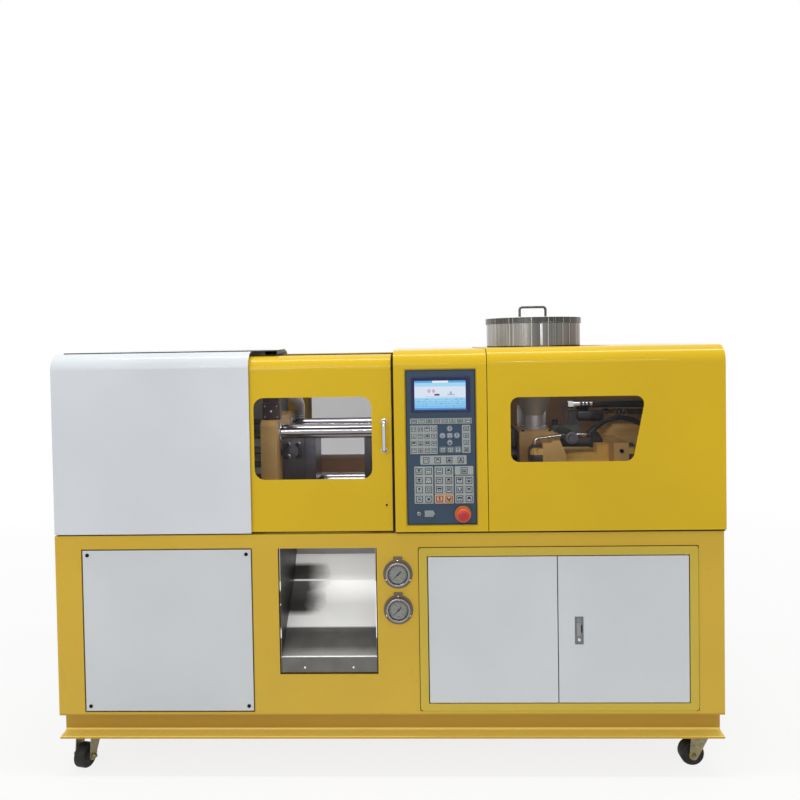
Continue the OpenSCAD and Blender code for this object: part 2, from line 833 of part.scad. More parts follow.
module control_column() {
    inner = cover_t;
    color("gold") difference() {
        union() {
            profile_x(x_column, x_column_end)
                saddle_sheet(y_cover, y_cover_back, z_deck, z_top - column_drop, cover_r, cover_t);
            cover_feet([x_column + 20, x_column_end - 60], 40);
            for (x = [x_column, x_column_end - inner])
                box([x, y_cover + cover_t - eps, z_cover], [x + inner, y_front + 118, z_top - cover_r]);
            front_plate(y_cover + cover_t - eps, y_cover + 2 * cover_t)
                translate([hmi_x0 - 14, hmi_z0 - 14]) square([hmi_w + 28, hmi_h + 28]);
        }
        front_plate(y_cover - 1, y_cover + cover_t)
            translate([hmi_x0 - hmi_gap, hmi_z0 - hmi_gap])
                square([hmi_w + 2 * hmi_gap, hmi_h + 2 * hmi_gap]);
        front_plate(y_cover + cover_t - 1, y_cover + 2 * cover_t + 1)
            translate([hmi_x0 + 12, hmi_z0 + 12]) square([hmi_w - 24, hmi_h - 24]);
        box([x_column - 1, y_cover - 1, z_deck - 1], [x_injection + 1, y_front, z_cover]);
        box([x_column - 1, y_back, z_deck - 1], [x_injection + 1, y_cover_back + 1, z_cover]);
    }
}

stop_at = [hmi_x0 + 160, hmi_z0 + 30];
stop_bore = 22.4;
stop_ring_t = 3;
module control_panel() {
    color("slategray") difference() {
        box([hmi_x0, y_hmi, hmi_z0], [hmi_x0 + hmi_w, y_cover + cover_t, hmi_z0 + hmi_h]);
        rod_y([stop_at[0], y_hmi - 1, stop_at[1]], stop_bore, hmi_proud + cover_t + 2);
    }
}

module display() {
    color("navy")
        box([hmi_x0 + 17, y_hmi - 2, hmi_z0 + 324], [hmi_x0 + 184, y_hmi, hmi_z0 + 412]);
}

// A block of keys with its lower left corner at p, in columns and rows.
module key_block(p, size, cols, rows) {
    gap = 2.5;
    w = (size[0] + gap) / cols;
    h = (size[1] + gap) / rows;
    for (i = [0:cols - 1], j = [0:rows - 1])
        box([hmi_x0 + p[0] + i * w, y_hmi - key_t, hmi_z0 + p[1] + j * h],
            [hmi_x0 + p[0] + (i + 1) * w - gap, y_hmi, hmi_z0 + p[1] + (j + 1) * h - gap]);
}

key_t = 1;
module control_keys() {
    color("lightgray") {
        key_block([12, 290], [176, 16], 8, 1);
        key_block([12, 204], [78, 82], 4, 4);
        key_block([160, 206], [24, 80], 1, 4);
        key_block([94, 206], [65, 18], 3, 1);
        key_block([40, 173], [132, 26], 4, 1);
        key_block([22, 61], [54, 107], 2, 4);
        key_block([80, 61], [54, 107], 2, 4);
        key_block([138, 61], [53, 79.6], 2, 3);
        key_block([138, 143.1], [53, 24.9], 1, 1);
        for (d = [[0, 0], [20, 0], [-20, 0], [0, 20], [0, -20]])
            key_block([117 + d[0], 248 + d[1]], [16, 16], 1, 1);
        front_plate(y_hmi - 3, y_hmi) translate([hmi_x0, hmi_z0])
            polygon([[50, 23], [74, 23], [80, 32], [74, 41], [50, 41]]);
        rod_y([hmi_x0 + 34, y_hmi - 4, hmi_z0 + 32], 17, 4);
        difference() {
            rod_y([stop_at[0], y_hmi - stop_ring_t, stop_at[1]], stop_d + 7, stop_ring_t);
            rod_y([stop_at[0], y_hmi - stop_ring_t - 1, stop_at[1]], stop_bore, stop_ring_t + 2);
        }
    }
}

module emergency_stop() {
    color("crimson") union() {
        rod_y([stop_at[0], y_hmi - stop_reach + 5, stop_at[1]], stop_d, 10);
        rod_y([stop_at[0], y_hmi - stop_reach, stop_at[1]], stop_d - 8, 6);
        rod_y([stop_at[0], y_hmi - stop_reach + 12, stop_at[1]], stop_bore - 0.8, stop_reach + 20);
    }
}

// ---------------------------------------------------------------- injection cover

iwin_x0 = x_injection + 65;
iwin_x1 = x_right - 225;
iwin_z0 = z_deck + 204;
iwin_z1 = z_deck + 390;
iwin_slant = 28;
iwin_r = 24;

// Window with an upright left side and a right side that leans inwards to the bottom.
module injection_window_outline(grow) {
    r = iwin_r + grow;
    hull() {
        translate([iwin_x0 + iwin_r, iwin_z0 + iwin_r]) circle(r);
        translate([iwin_x0 + iwin_r, iwin_z1 - iwin_r]) circle(r);
        translate([iwin_x1 - iwin_r, iwin_z1 - iwin_r]) circle(r);
        translate([iwin_x1 - iwin_slant - iwin_r, iwin_z0 + iwin_r]) circle(r);
    }
}

module injection_cover() {
    slot_r = hopper_d / 2 + hood_clear;
    color("gold") difference() {
        union() {
            profile_x(x_injection, x_right + seam)
                saddle_sheet(y_cover, y_cover_back, z_deck, z_top, cover_r, cover_t);
            profile_x(x_right + seam - cover_t, x_right + seam)
                saddle(y_cover, y_cover_back, z_cover, z_top, cover_r);
            cover_feet([x_injection + 20, x_right - 60], 40);
        }
        front_plate(y_cover - 1, y_cover + cover_t + 1) injection_window_outline(0);
        rod_z([x_hopper, y_axis, z_top - 10], 2 * slot_r, 20);
        rod_z([x_hopper + carriage_stroke, y_axis, z_top - 10], 2 * slot_r, 20);
        box([x_hopper, y_axis - slot_r, z_top - 10],
            [x_hopper + carriage_stroke, y_axis + slot_r, z_top + 10]);
        box([x_injection - 1, y_cover - 1, z_deck - 1], [x_right + seam + 1, y_front, z_cover]);
        box([x_injection - 1, y_back, z_deck - 1], [x_right + seam + 1, y_cover_back + 1, z_cover]);
    }
}

module injection_window() {
    color([0.7, 0.75, 0.8, 0.3])
        front_plate(y_cover + cover_t, y_cover + cover_t + 4) injection_window_outline(14);
}

// ---------------------------------------------------------------- hopper

z_hopper = z_top + 3;
neck_flange_t = 8;
neck_flange_w = 14;
z_cone = z_throat + neck_flange_t + neck_h;
z_rim = z_hopper + hopper_wall;

module hopper() {
    r = hopper_d / 2;
    n = neck_d / 2;
    t = hopper_t;
    flange = neck_flange_w;
    shield_y = n + flange + 9;
    color("silver") translate([x_hopper, y_axis, 0]) {
        union() {
            rotate_extrude() polygon([
                [n, z_throat + neck_flange_t], [n, z_cone], [r, z_hopper], [r, z_rim],
                [r - t, z_rim], [r - t, z_hopper + 1], [n - t, z_cone + 1],
                [n - t, z_throat + neck_flange_t]
            ]);
            difference() {
                rod_z([0, 0, z_throat], neck_d + 2 * flange, neck_flange_t);
                rod_z([0, 0, z_throat - 1], neck_d - 2 * t, neck_flange_t + 2);
            }
        }
        box([-48, shield_y, z_throat], [48, shield_y + 4, z_cone + 27]);
        box([-48, shield_y + 4 - eps, z_throat], [48, shield_y + 24, z_throat + 4]);
    }
}

lid_lap = 16;
lid_gap = 1;
lid_handle_w = 92;
lid_handle_d = 8;
lid_handle_h = 38;
module hopper_lid() {
    r = hopper_d / 2 + lid_gap + hopper_t;
    t = hopper_t;
    color("silver") translate([x_hopper, y_axis, z_rim]) union() {
        rotate_extrude() polygon([
            [0, 0], [r - t, 0], [r - t, -lid_lap], [r, -lid_lap], [r, t], [0, t]
        ]);
        translate([0, 0, t / 2]) bow(lid_handle_w - lid_handle_d, lid_handle_h, lid_handle_d, 9);
    }
}

// ---------------------------------------------------------------- clamp unit

// Plate with round corners across the axis, with the four tie bar bores.
module platen(x, t, h, bore) {
    difference() {
        profile_x(x, x + t)
            round_rect([y_axis - platen_w / 2, z_axis - h / 2], [y_axis + platen_w / 2, z_axis + h / 2], 22);
        at_bars() rod_x([x - 1, 0, 0], bore, t + 2);
    }
}

// Foot under a platen that is bolted to the deck.
module platen_feet(x, t) {
    for (s = [-1, 1])
        box([x, y_axis + s * 110 - 45, z_deck], [x + t, y_axis + s * 110 + 45, z_axis - platen_h / 2 + 10]);
}

module fixed_platen() {
    color("peru") difference() {
        union() {
            platen(x_fixed, fixed_t, platen_h, bar_d + 2 * bar_clear);
            platen_feet(x_fixed, fixed_t);
        }
        rod_x([x_fixed - 1, y_axis, z_axis], locating_d, 16);
        rod_x([x_fixed + 14, y_axis, z_axis], 56, fixed_t);
        rod_x([x_fixed + 40, y_axis, z_axis], barrel_d + 40, fixed_t);
        for (y = [-1, 1] * 70, z = [-1, 1] * 120)
            rod_x([x_fixed - 1, y_axis + y, z_axis + z], 12, 26);
    }
}

module moving_platen() {
    color("peru") difference() {
        platen(x_moving - moving_t, moving_t, moving_h, bar_d + 2 * bar_clear);
        rod_x([x_moving - 14, y_axis, z_axis], locating_d, 16);
        for (y = [-1, 1] * 70, z = [-1, 1] * 120)
            rod_x([x_moving - 25, y_axis + y, z_axis + z], 12, 26);
    }
}

clamp_bore = 120;
module tail_platen() {
    color("peru") difference() {
        union() {
            platen(x_tail, tail_t, platen_h, bar_d + 2 * bar_clear);
            platen_feet(x_tail, tail_t);
        }
        rod_x([x_tail - 1, y_axis, z_axis], clamp_bore, tail_t + 2);
    }
}

module tie_bars() {
    color("lightgray") at_bars() {
        rod_x([x_tail - nut_t - bar_end, 0, 0], bar_d, x_fixed + fixed_t + 2 * (nut_t + bar_end) - x_tail);
        hex_x([x_tail - nut_t, 0, 0], nut_af, nut_t);
        hex_x([x_fixed + fixed_t, 0, 0], nut_af, nut_t);
    }
}

rod_clear = 0.4;
clamp_rod_d = 70;
cyl_reach = 30;
cyl_len = 205;
module clamp_cylinder() {
    x0 = x_tail - cyl_reach;
    x1 = x_tail + cyl_len;
    color("dimgray") difference() {
        union() {
            rod_x([x0, y_axis, z_axis], clamp_bore - 1, x1 - x0);
            rod_x([x_tail + tail_t, y_axis, z_axis], clamp_bore + 24, 18);
        }
        rod_x([x_tail - 5, y_axis, z_axis], clamp_rod_d + 2 * rod_clear, x1 - x_tail + 6);
    }
}

module clamp_rod() {
    color("silver")
        rod_x([x_tail + 20, y_axis, z_axis], clamp_rod_d, x_moving - moving_t - x_tail - 20);
}

// Mold half: a clamping plate and a smaller block, as wide as fits between the bars.
module mold_moving_half() {
    split = 72;
    step = 6;
    color("darkslategray") union() {
        box([x_moving, y_axis - mold_s / 2, z_axis - mold_s / 2],
            [x_moving + split, y_axis + mold_s / 2, z_axis + mold_s / 2]);
        box([x_moving + split - eps, y_axis - mold_s / 2 + step, z_axis - mold_s / 2],
            [x_mold_moving, y_axis + mold_s / 2 - step, z_axis + mold_s / 2]);
    }
}

module mold_fixed_half() {
    color("darkslategray") difference() {
        union() {
            box([x_mold_fixed, y_axis - mold_s / 2, z_axis - mold_s / 2],
                [x_fixed, y_axis + mold_s / 2, z_axis + mold_s / 2]);
            rod_x([x_fixed - eps, y_axis, z_axis], locating_d - 0.6, 8);
        }
        rod_x([x_mold_fixed - 1, y_axis, z_axis], 5, mold_fixed_t + 10);
    }
}

// ---------------------------------------------------------------- injection unit

rail_start = x_fixed + fixed_t + nut_t + 60;
rail_end = x_right - 40;
module injection_rails() {
    stand_l = 40;
    side = guide_y + 34;
    color("silver") union() {
        for (s = [-1, 1])
            rod_x([rail_start, y_axis + s * guide_y, z_guide], guide_d, rail_end - rail_start);
        for (x = [rail_start, rail_end - stand_l])
            box([x, y_axis - side, z_deck], [x + stand_l, y_axis + side, z_guide + guide_d / 2 + 10]);
    }
}

// Carriage: the block that holds the barrel's rear end and the hopper, with a head on each side.
head_x = x_throat + 58;
head_z = z_axis + 68;

module head_outline() {
    polygon([
        [head_x, z_guide - 30], [x_ram, z_guide - 30], [x_ram, z_axis + 22], [x_ram - 18, head_z],
        [head_x + 29, head_z], [head_x + 26, head_z - 7], [head_x, head_z - 7]
    ]);
}

module feed_block() {
    half = carriage_w / 2;
    color("peru") difference() {
        union() {
            box([x_throat, y_axis - half, z_guide - 30], [x_ram, y_axis + half, z_guide + 34]);
            box([x_throat, y_axis - throat_in, z_guide + 34 - eps],
                [x_ram - 20, y_axis + throat_in, z_throat]);
            box([x_ram - 20 - eps, y_axis - throat_in, z_guide + 34 - eps],
                [x_ram, y_axis + throat_in, z_throat - throat_step]);
            for (side = [0, 1]) mirror_y(side)
                front_plate(y_axis - half, y_ram + 10) head_outline();
        }
        for (s = [-1, 1])
            rod_x([x_throat - 1, y_axis + s * guide_y, z_guide], guide_d + 1, throat_l + 2);
        rod_x([x_throat - 1, y_axis, z_axis], barrel_d + 1, throat_l + 2);
        rod_z([x_hopper, y_axis, z_axis], neck_d - 2 * hopper_t, z_throat - z_axis + 1);
    }
}

nozzle_tip = x_fixed + 8 + nozzle_clear;
module barrel() {
    jacket = barrel_d / 2 + 8;
    x_jacket = x_throat - 8;
    color("dimgray") union() {
        translate([0, y_axis, z_axis]) rotate([0, 90, 0]) rotate_extrude() polygon([
            [0, nozzle_tip], [8, nozzle_tip], [12, nozzle_tip + 14], [20, nozzle_tip + 20],
            [20, nozzle_tip + 50], [jacket, nozzle_tip + 62], [jacket, x_jacket],
            [barrel_d / 2, x_jacket], [barrel_d / 2, x_ram], [0, x_ram]
        ]);
        box([x_jacket - 36, y_axis - 54, z_axis + jacket - 14], [x_jacket, y_axis + 46, z_throat + 6]);
    }
}

// Two cylinders between the heads, each with a lug at its rear end and a round cap on both heads.
cap_d = 72;
cap_y = y_axis - carriage_w / 2 + 40;
cap_z = z_axis + 18;

module head_cap(h) {
    rotate([0, 90, 0]) rotate_extrude()
        polygon([[0, 0], [cap_d / 2, 0], [cap_d / 2, h - 10], [cap_d / 2 - 10, h], [0, h]]);
}

module injection_cylinders() {
    lug = 24;
    color("peru") for (side = [0, 1]) mirror_y(side) {
        union() {
            rod_x([x_ram, y_ram, z_ram], ram_d, ram_l);
            box([x_rear - 36, y_ram - lug, z_ram], [x_rear, y_ram + lug, z_ram + ram_d / 2 + 26]);
        }
        union() {
            translate([head_x, cap_y, cap_z]) mirror([1, 0, 0]) head_cap(36);
            box([head_x - 16, cap_y - 40, cap_z + 7], [head_x, cap_y - 20, cap_z + 25]);
        }
        union() {
            translate([x_housing, cap_y, cap_z]) head_cap(30);
            box([x_housing, cap_y - 40, cap_z + 8], [x_housing + 15, cap_y - 20, cap_z + 26]);
        }
    }
}

module thrust_plate() {
    half = carriage_w / 2;
    drum = 75;
    color("peru") difference() {
        union() {
            box([x_rear, y_axis - half, z_guide - 30], [x_housing, y_axis + half, z_axis + 59]);
            box([x_housing - eps, y_axis - 60, z_axis - 60], [x_motor, y_axis + 60, z_axis + 65]);
            translate([0, y_axis + 26, z_axis + 30]) rotate([0, 90, 0]) rotate_extrude() polygon([
                [0, x_rear + 1], [30, x_rear + 1], [drum, x_housing], [drum, x_motor], [0, x_motor]
            ]);
        }
        for (s = [-1, 1])
            rod_x([x_rear - 1, y_axis + s * guide_y, z_guide], guide_d + 1, rear_t + 2);
    }
}

// Screw drive, with the block that its hoses run into.
port_in = 12;
x_port = x_motor + port_in - 2;
module screw_motor() {
    z = z_axis - 20;
    color("dimgray") union() {
        rod_x([x_motor, y_axis, z], 130, port_in);
        rod_x([x_motor + port_in - eps, y_axis, z], 112, 32);
        box([x_port, y_axis - 21, z + 40], [x_port + 34, y_axis + 24, z_hose + 29]);
        box([x_port, hose_low_y - 14, z], [x_port + 34, y_axis, z + 50]);
        hose_stub(hose_a0, ferrule_d + 2, 34);
    }
}

// Valves on the feed block: levels and planes that the pipes and hoses share with them
y_valve = y_axis - 10;
z_hose = z_throat + 77;
z_hose_2 = z_throat + 51;
hose_low_y = y_axis - 44;
x_valve = x_ram + 21;
z_valve = z_axis + 73;
valve_d = 39;
x_fitting = x_ram + 40;
fitting_l = 80;
x_solenoid = x_ram + 154;
solenoid_z = z_throat + 40;
ferrule_d = 20;
nut_af_small = 20;
hose_d = 21;
hose_d_small = 17;
pipe_d = 9;
pipe_rise = 7;
pipe_bend = 12;
pipe_run = 70;
pipe_foot = 5;
pipe_x = head_x - 18;
pipe_z = cap_z + cap_d / 2 + pipe_foot;
pipe_turn = [pipe_x + pipe_bend * (1 - sin(pipe_rise)), cap_y, pipe_z + pipe_bend * cos(pipe_rise)];
pipe_end = pipe_turn + pipe_run * [cos(pipe_rise), 0, sin(pipe_rise)];
link_d = 7;
link_y = y_valve - 38;
link_z = z_axis + 68;
elbow_x = x_ram + 101;

// The low hose arches from the elbow over to the drive; angles count up from +X.
hose_r = 120;
hose_mid = [x_ram + 201, hose_low_y, z_throat - 85];
hose_a0 = 25;
hose_a1 = 133;

// Stub of length l that meets the low hose at angle a, on the side away from its crown.
module hose_stub(a, d, l) {
    translate(hose_mid) rotate([0, -a, 0]) translate([hose_r, 0, 0])
        rotate([a > 90 ? 0 : 180, 0, 0]) cylinder(d = d, h = l);
}

module valve_manifold() {
    block_z = z_throat - throat_step;
    top = z_throat + 11;
    low = z_axis + 43;
    color("dimgray") union() {
        box([x_ram - 13, y_valve - 14, block_z], [x_ram + 77, y_valve + 46, top]);
        rod_z([x_ram - 2, y_valve, top - eps], ferrule_d, 10);
        box([x_ram + 16, y_valve - 14, top - eps], [x_fitting, y_valve - 10, z_hose + 10]);
        box([x_fitting - 4, y_valve - 14, top - eps], [x_fitting, y_valve + 16, z_hose + 10]);
        box([x_ram + 41, y_valve - 13, top - eps], [x_ram + 73, y_valve + 16, solenoid_z + 17]);
        translate([x_solenoid, y_valve, solenoid_z]) rotate([0, -90, 0]) rotate_extrude()
            polygon([[0, 0], [18, 0], [18, 83], [14, 89], [0, 89]]);
        rod_x([x_ram, y_valve - 34, low], 30, elbow_x - x_ram + 1);
        front_plate(y_valve - 42, y_valve - 6) polygon([
            [elbow_x, low - 17], [x_rear, low - 17], [x_rear, low + 8],
            [x_rear - 14, low + 32], [elbow_x, low + 32]
        ]);
        rod_y([x_valve, y_valve - 154, z_valve], valve_d, 124);
        rod_x([x_valve + 6, link_y, link_z], 12, 18);
        slope_xz(pipe_end, pipe_rise, 15, 20);
        hose_stub(hose_a1, ferrule_d, 22);
    }
}

module hydraulic_hoses() {
    color("black") {
        for (f = [[x_fitting, z_hose, hose_d], [x_solenoid, z_hose_2, hose_d_small]])
            rod_x([f[0] + fitting_l, y_valve, f[1]], f[2], x_port - f[0] - fitting_l);
        arc_xz(hose_mid, hose_r, hose_a0, hose_a1, hose_d_small);
    }
}

// Bent pipe from the front cap to the valve, a short pipe, and the fittings of two hoses.
module steel_pipe() {
    color("silver") {
        union() {
            rod_z([pipe_x, cap_y, pipe_z - pipe_foot], pipe_d, pipe_foot);
            arc_xz([pipe_x + pipe_bend, cap_y, pipe_z], pipe_bend, 90 + pipe_rise, 180, pipe_d);
            slope_xz(pipe_turn, pipe_rise, pipe_d, pipe_run);
        }
        rod_x([x_valve + 24, link_y, link_z], link_d, elbow_x - x_valve - 24);
        for (f = [[x_fitting, z_hose], [x_solenoid, z_hose_2]]) {
            hex_x([f[0], y_valve, f[1]], nut_af_small, 18);
            rod_x([f[0] + 18, y_valve, f[1]], ferrule_d - 2, fitting_l - 18);
        }
    }
}

// ---------------------------------------------------------------- assembly

plinth();
caster_plates();
caster_fork(CASTERS[0]);  // caster_fork_front_left
caster_fork(CASTERS[1]);  // caster_fork_front_right
caster_fork(CASTERS[2]);  // caster_fork_rear_left
caster_fork(CASTERS[3]);  // caster_fork_rear_right
caster_wheel(CASTERS[0]);  // caster_wheel_front_left
caster_wheel(CASTERS[1]);  // caster_wheel_front_right
caster_wheel(CASTERS[2]);  // caster_wheel_rear_left
caster_wheel(CASTERS[3]);  // caster_wheel_rear_right
base_front();
base_back();
base_ends();
base_deck();
base_floor();
access_panel();
chute();
pressure_gauges();
electrical_box();
cabinet_door_left();
cabinet_door_right();
cabinet_latch();
clamp_cover();
clamp_roof();
door_rails();
safety_door();
safety_door_window();
safety_door_handle();
rear_guard();
rear_guard_window();
control_column();
control_panel();
display();
control_keys();
emergency_stop();
injection_cover();
injection_window();
hopper();
hopper_lid();
fixed_platen();
moving_platen();
tail_platen();
tie_bars();
clamp_cylinder();
clamp_rod();
mold_fixed_half();
mold_moving_half();
injection_rails();
feed_block();
barrel();
injection_cylinders();
thrust_plate();
screw_motor();
valve_manifold();
hydraulic_hoses();
steel_pipe();
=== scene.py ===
# %% [markdown]
# # An injection molding machine, from CAD shapes to finished surfaces
# The machine itself comes from CAD: every sheet, platen and bar is already there, in metres, with +Z up.
# This lesson adds what a CAD file leaves out: the camera, the light, the finish of each metal and paint,
# and the small turned, swept and molded pieces that sit on the sheets.

# %% Tools and the frame
import math

import bpy
import numpy as np
from mathutils import Matrix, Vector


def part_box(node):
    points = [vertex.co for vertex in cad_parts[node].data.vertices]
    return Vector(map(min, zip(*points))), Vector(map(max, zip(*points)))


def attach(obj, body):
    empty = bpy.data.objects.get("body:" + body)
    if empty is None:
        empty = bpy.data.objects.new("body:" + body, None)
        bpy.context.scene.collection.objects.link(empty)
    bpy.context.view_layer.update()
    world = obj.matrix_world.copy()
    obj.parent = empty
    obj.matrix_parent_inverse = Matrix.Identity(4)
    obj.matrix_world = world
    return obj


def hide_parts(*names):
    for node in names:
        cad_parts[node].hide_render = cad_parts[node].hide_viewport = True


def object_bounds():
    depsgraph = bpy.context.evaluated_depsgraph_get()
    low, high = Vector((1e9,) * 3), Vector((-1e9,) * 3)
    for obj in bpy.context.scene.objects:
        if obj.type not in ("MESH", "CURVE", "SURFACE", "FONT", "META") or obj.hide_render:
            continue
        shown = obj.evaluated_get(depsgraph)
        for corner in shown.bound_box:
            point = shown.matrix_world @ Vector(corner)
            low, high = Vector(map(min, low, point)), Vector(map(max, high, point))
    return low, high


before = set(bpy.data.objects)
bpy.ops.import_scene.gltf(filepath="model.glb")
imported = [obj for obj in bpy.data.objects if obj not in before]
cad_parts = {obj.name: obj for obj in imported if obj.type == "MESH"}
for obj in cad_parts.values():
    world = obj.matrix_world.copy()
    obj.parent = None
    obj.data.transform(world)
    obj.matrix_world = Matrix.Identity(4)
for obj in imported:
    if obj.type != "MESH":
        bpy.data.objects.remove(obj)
cad_low, cad_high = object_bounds()
mm = 0.001
cad_size = [round(high - low, 3) for low, high in zip(cad_low, cad_high)]
print("CAD nodes:", len(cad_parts), "size:", cad_size, "m")

# %% [markdown]
# ## The camera
# A real camera held at chest height has a little yaw, pitch and roll. We write its three axes as
# plain vectors and put them side by side in a matrix, instead of turning angles until it looks right.
# A small vertical shift keeps the uprights parallel, as a tilted-sensor lens does.

# %% Camera from its three axes
def unit(angle):
    """Cosine and sine of an angle in degrees."""
    return math.cos(math.radians(angle)), math.sin(math.radians(angle))


def aim(eye, yaw, pitch, roll):
    """Camera matrix: the level axes turned by yaw, tipped down by pitch, then rolled about the view."""
    cy, sy = unit(yaw)
    cp, sp = unit(pitch)
    cr, sr = unit(roll)
    level_right = np.array([cy, sy, 0.0])
    level_ahead = np.array([-sy, cy, 0.0])
    up = sp * level_ahead + cp * np.array([0.0, 0.0, 1.0])
    ahead = cp * level_ahead - sp * np.array([0.0, 0.0, 1.0])
    right = cr * level_right + sr * up
    top = cr * up - sr * level_right
    matrix = np.eye(4)
    matrix[:3] = np.stack([right, top, -ahead, np.array(eye)], axis=1)
    return matrix


lens = bpy.data.cameras.new("chest_height_camera")
lens.lens = 32.93
lens.shift_y = -0.0495
lens.clip_start, lens.clip_end = 0.05, 60.0
camera = bpy.data.objects.new("chest_height_camera", lens)
bpy.context.scene.collection.objects.link(camera)
eye = (0.1147, -2.3949, 1.2662)
yaw, pitch, roll = 1.711, 1.373, -0.93
camera.matrix_world = Matrix(aim(eye, yaw, pitch, roll))
bpy.context.scene.camera = camera
print("camera at", [round(v, 3) for v in camera.location], "focal length", round(lens.lens, 2))

# %% [markdown]
# ## Maths between sockets
# A finish is a web of nodes. Written out by hand it is long and hard to read, so one small class
# wraps an output socket and lets Python's own + - * > < build the Math nodes. Another wraps the
# material, and has one method that adds any other node.

# %% A number that flows through a finish
class Flow:
    """One output socket. Arithmetic on it adds a Math node and returns that node's output."""

    def __init__(self, finish, socket):
        self.finish, self.socket = finish, socket

    def maths(self, operation, *values, clamp=False):
        settings = {"operation": operation, "use_clamp": clamp}
        return self.finish.node("ShaderNodeMath", settings, dict(enumerate(values)))

    def __add__(self, other):
        return self.maths("ADD", self, other)

    def __sub__(self, other):
        return self.maths("SUBTRACT", self, other)

    def __rsub__(self, other):
        return self.maths("SUBTRACT", other, self)

    def __mul__(self, other):
        return self.maths("MULTIPLY", self, other)

    def __gt__(self, other):
        return self.maths("GREATER_THAN", self, other)

    def __lt__(self, other):
        return self.maths("LESS_THAN", self, other)

    __radd__, __rmul__ = __add__, __mul__

    def floor(self):
        """The whole number below."""
        return self.maths("FLOOR", self)

    def fraction(self):
        """What is left above the whole number."""
        return self.maths("FRACT", self)

    def size(self):
        """The number without its sign."""
        return self.maths("ABSOLUTE", self)

    def between(self, low, high):
        """1 where the number lies from low to high, 0 elsewhere."""
        return (self > low) * (self < high)

    def step(self, low, high):
        """0 below low, 1 above high, and a straight ramp between them."""
        return self.maths("MULTIPLY", self - low, 1.0 / (high - low), clamp=True)


# %% A finish and its nodes
class Finish:
    """A material under construction, with the object's own coordinates at hand."""

    def __init__(self, name):
        self.material = bpy.data.materials.new(name)
        self.material.use_nodes = True
        self.tree = self.material.node_tree
        self.shader = self.tree.nodes["Principled BSDF"]
        self.place = self.node("ShaderNodeTexCoord", {}, {}, "Object")

    def node(self, kind, settings, sockets, out=0):
        """Adds a node: its settings first (a ramp's stops among them), then its sockets' values or links."""
        made = self.tree.nodes.new(kind)
        for key, value in settings.items():
            if key == "stops":
                while len(made.color_ramp.elements) < len(value):
                    made.color_ramp.elements.new(0.5)
                for element, (position, colour) in zip(made.color_ramp.elements, value):
                    element.position, element.color = position, (*colour, 1.0)
            else:
                setattr(made, key, value)
        for key, value in sockets.items():
            if isinstance(value, Flow):
                self.tree.links.new(value.socket, made.inputs[key])
            else:
                made.inputs[key].default_value = value
        return Flow(self, made.outputs[out])

    def axis(self, name):
        """One of the object's coordinates in metres: X, Y or Z."""
        return self.node("ShaderNodeSeparateXYZ", {}, {0: self.place}, name)

    def marks(self, name):
        """One of the piece's own two marks, U or V, that were written into its mesh."""
        layer = self.node("ShaderNodeUVMap", {"uv_map": "marks"}, {})
        return self.node("ShaderNodeSeparateXYZ", {}, {0: layer}, "XY"["UV".index(name)])

    def facing(self, name):
        """One part of the surface's own direction, from -1 to 1."""
        normal = self.node("ShaderNodeTexCoord", {}, {}, "Normal")
        return self.node("ShaderNodeSeparateXYZ", {}, {0: normal}, name)

    def grain(self, size, detail=2.0, stretch=(1.0, 1.0, 1.0), rough=0.5):
        """Soft noise from 0 to 1 whose blobs are about size metres wide, stretched along the axes."""
        scale = tuple(1.0 / (size * s) for s in stretch)
        where = self.node("ShaderNodeVectorMath", {"operation": "MULTIPLY"}, {0: self.place, 1: scale})
        sockets = {"Vector": where, "Scale": 1.0, "Detail": detail, "Roughness": rough}
        return self.node("ShaderNodeTexNoise", {}, sockets)

    def line_noise(self, along, detail=3.0):
        """Soft noise from 0 to 1 along one number only."""
        sockets = {"W": along, "Scale": 1.0, "Detail": detail, "Roughness": 0.6}
        return self.node("ShaderNodeTexNoise", {"noise_dimensions": "1D"}, sockets)

    def mix(self, amount, first, second):
        """From the first colour to the second as amount goes from 0 to 1."""
        def four(colour):
            return colour if isinstance(colour, Flow) else (*colour, 1.0)

        sockets = {0: amount, 6: four(first), 7: four(second)}
        return self.node("ShaderNodeMix", {"data_type": "RGBA"}, sockets, 2)

    def bump(self, height, depth):
        """Feeds the Normal with a relief of that depth in metres."""
        sockets = {"Strength": 1.0, "Distance": depth, "Height": height}
        self.set("Normal", self.node("ShaderNodeBump", {}, sockets, "Normal"))

    def set(self, name, value):
        """Gives one of the shader's sockets a link or a constant."""
        if isinstance(value, Flow):
            self.tree.links.new(value.socket, self.shader.inputs[name])
        elif name.endswith("Color"):
            self.shader.inputs[name].default_value = (*value, 1.0)
        else:
            self.shader.inputs[name].default_value = value
        return self


def give(finish, *nodes):
    """Puts a finish on CAD nodes, in the material slots that they came with."""
    for name in nodes:
        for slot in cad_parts[name].material_slots:
            slot.material = finish.material


def shade(colour, share):
    """The same colour, darker or lighter by a share."""
    return tuple(min(1.0, share * part) for part in colour)


# %% [markdown]
# ## Sheet metal paint
# Powder coat on sheet is never flat: it has a faint orange peel, its colour drifts by a few percent
# over a panel, hands leave duller patches, and dust settles low down. Each of these is one noise
# with the right size, and together they are weak enough not to read as a pattern. A thin coat over
# it catches the long lamps on the rounded edges.

# %% Powder coat
DUST_BROWN = (0.40, 0.31, 0.16)
COVER_YELLOW = (0.600, 0.395, 0.006)


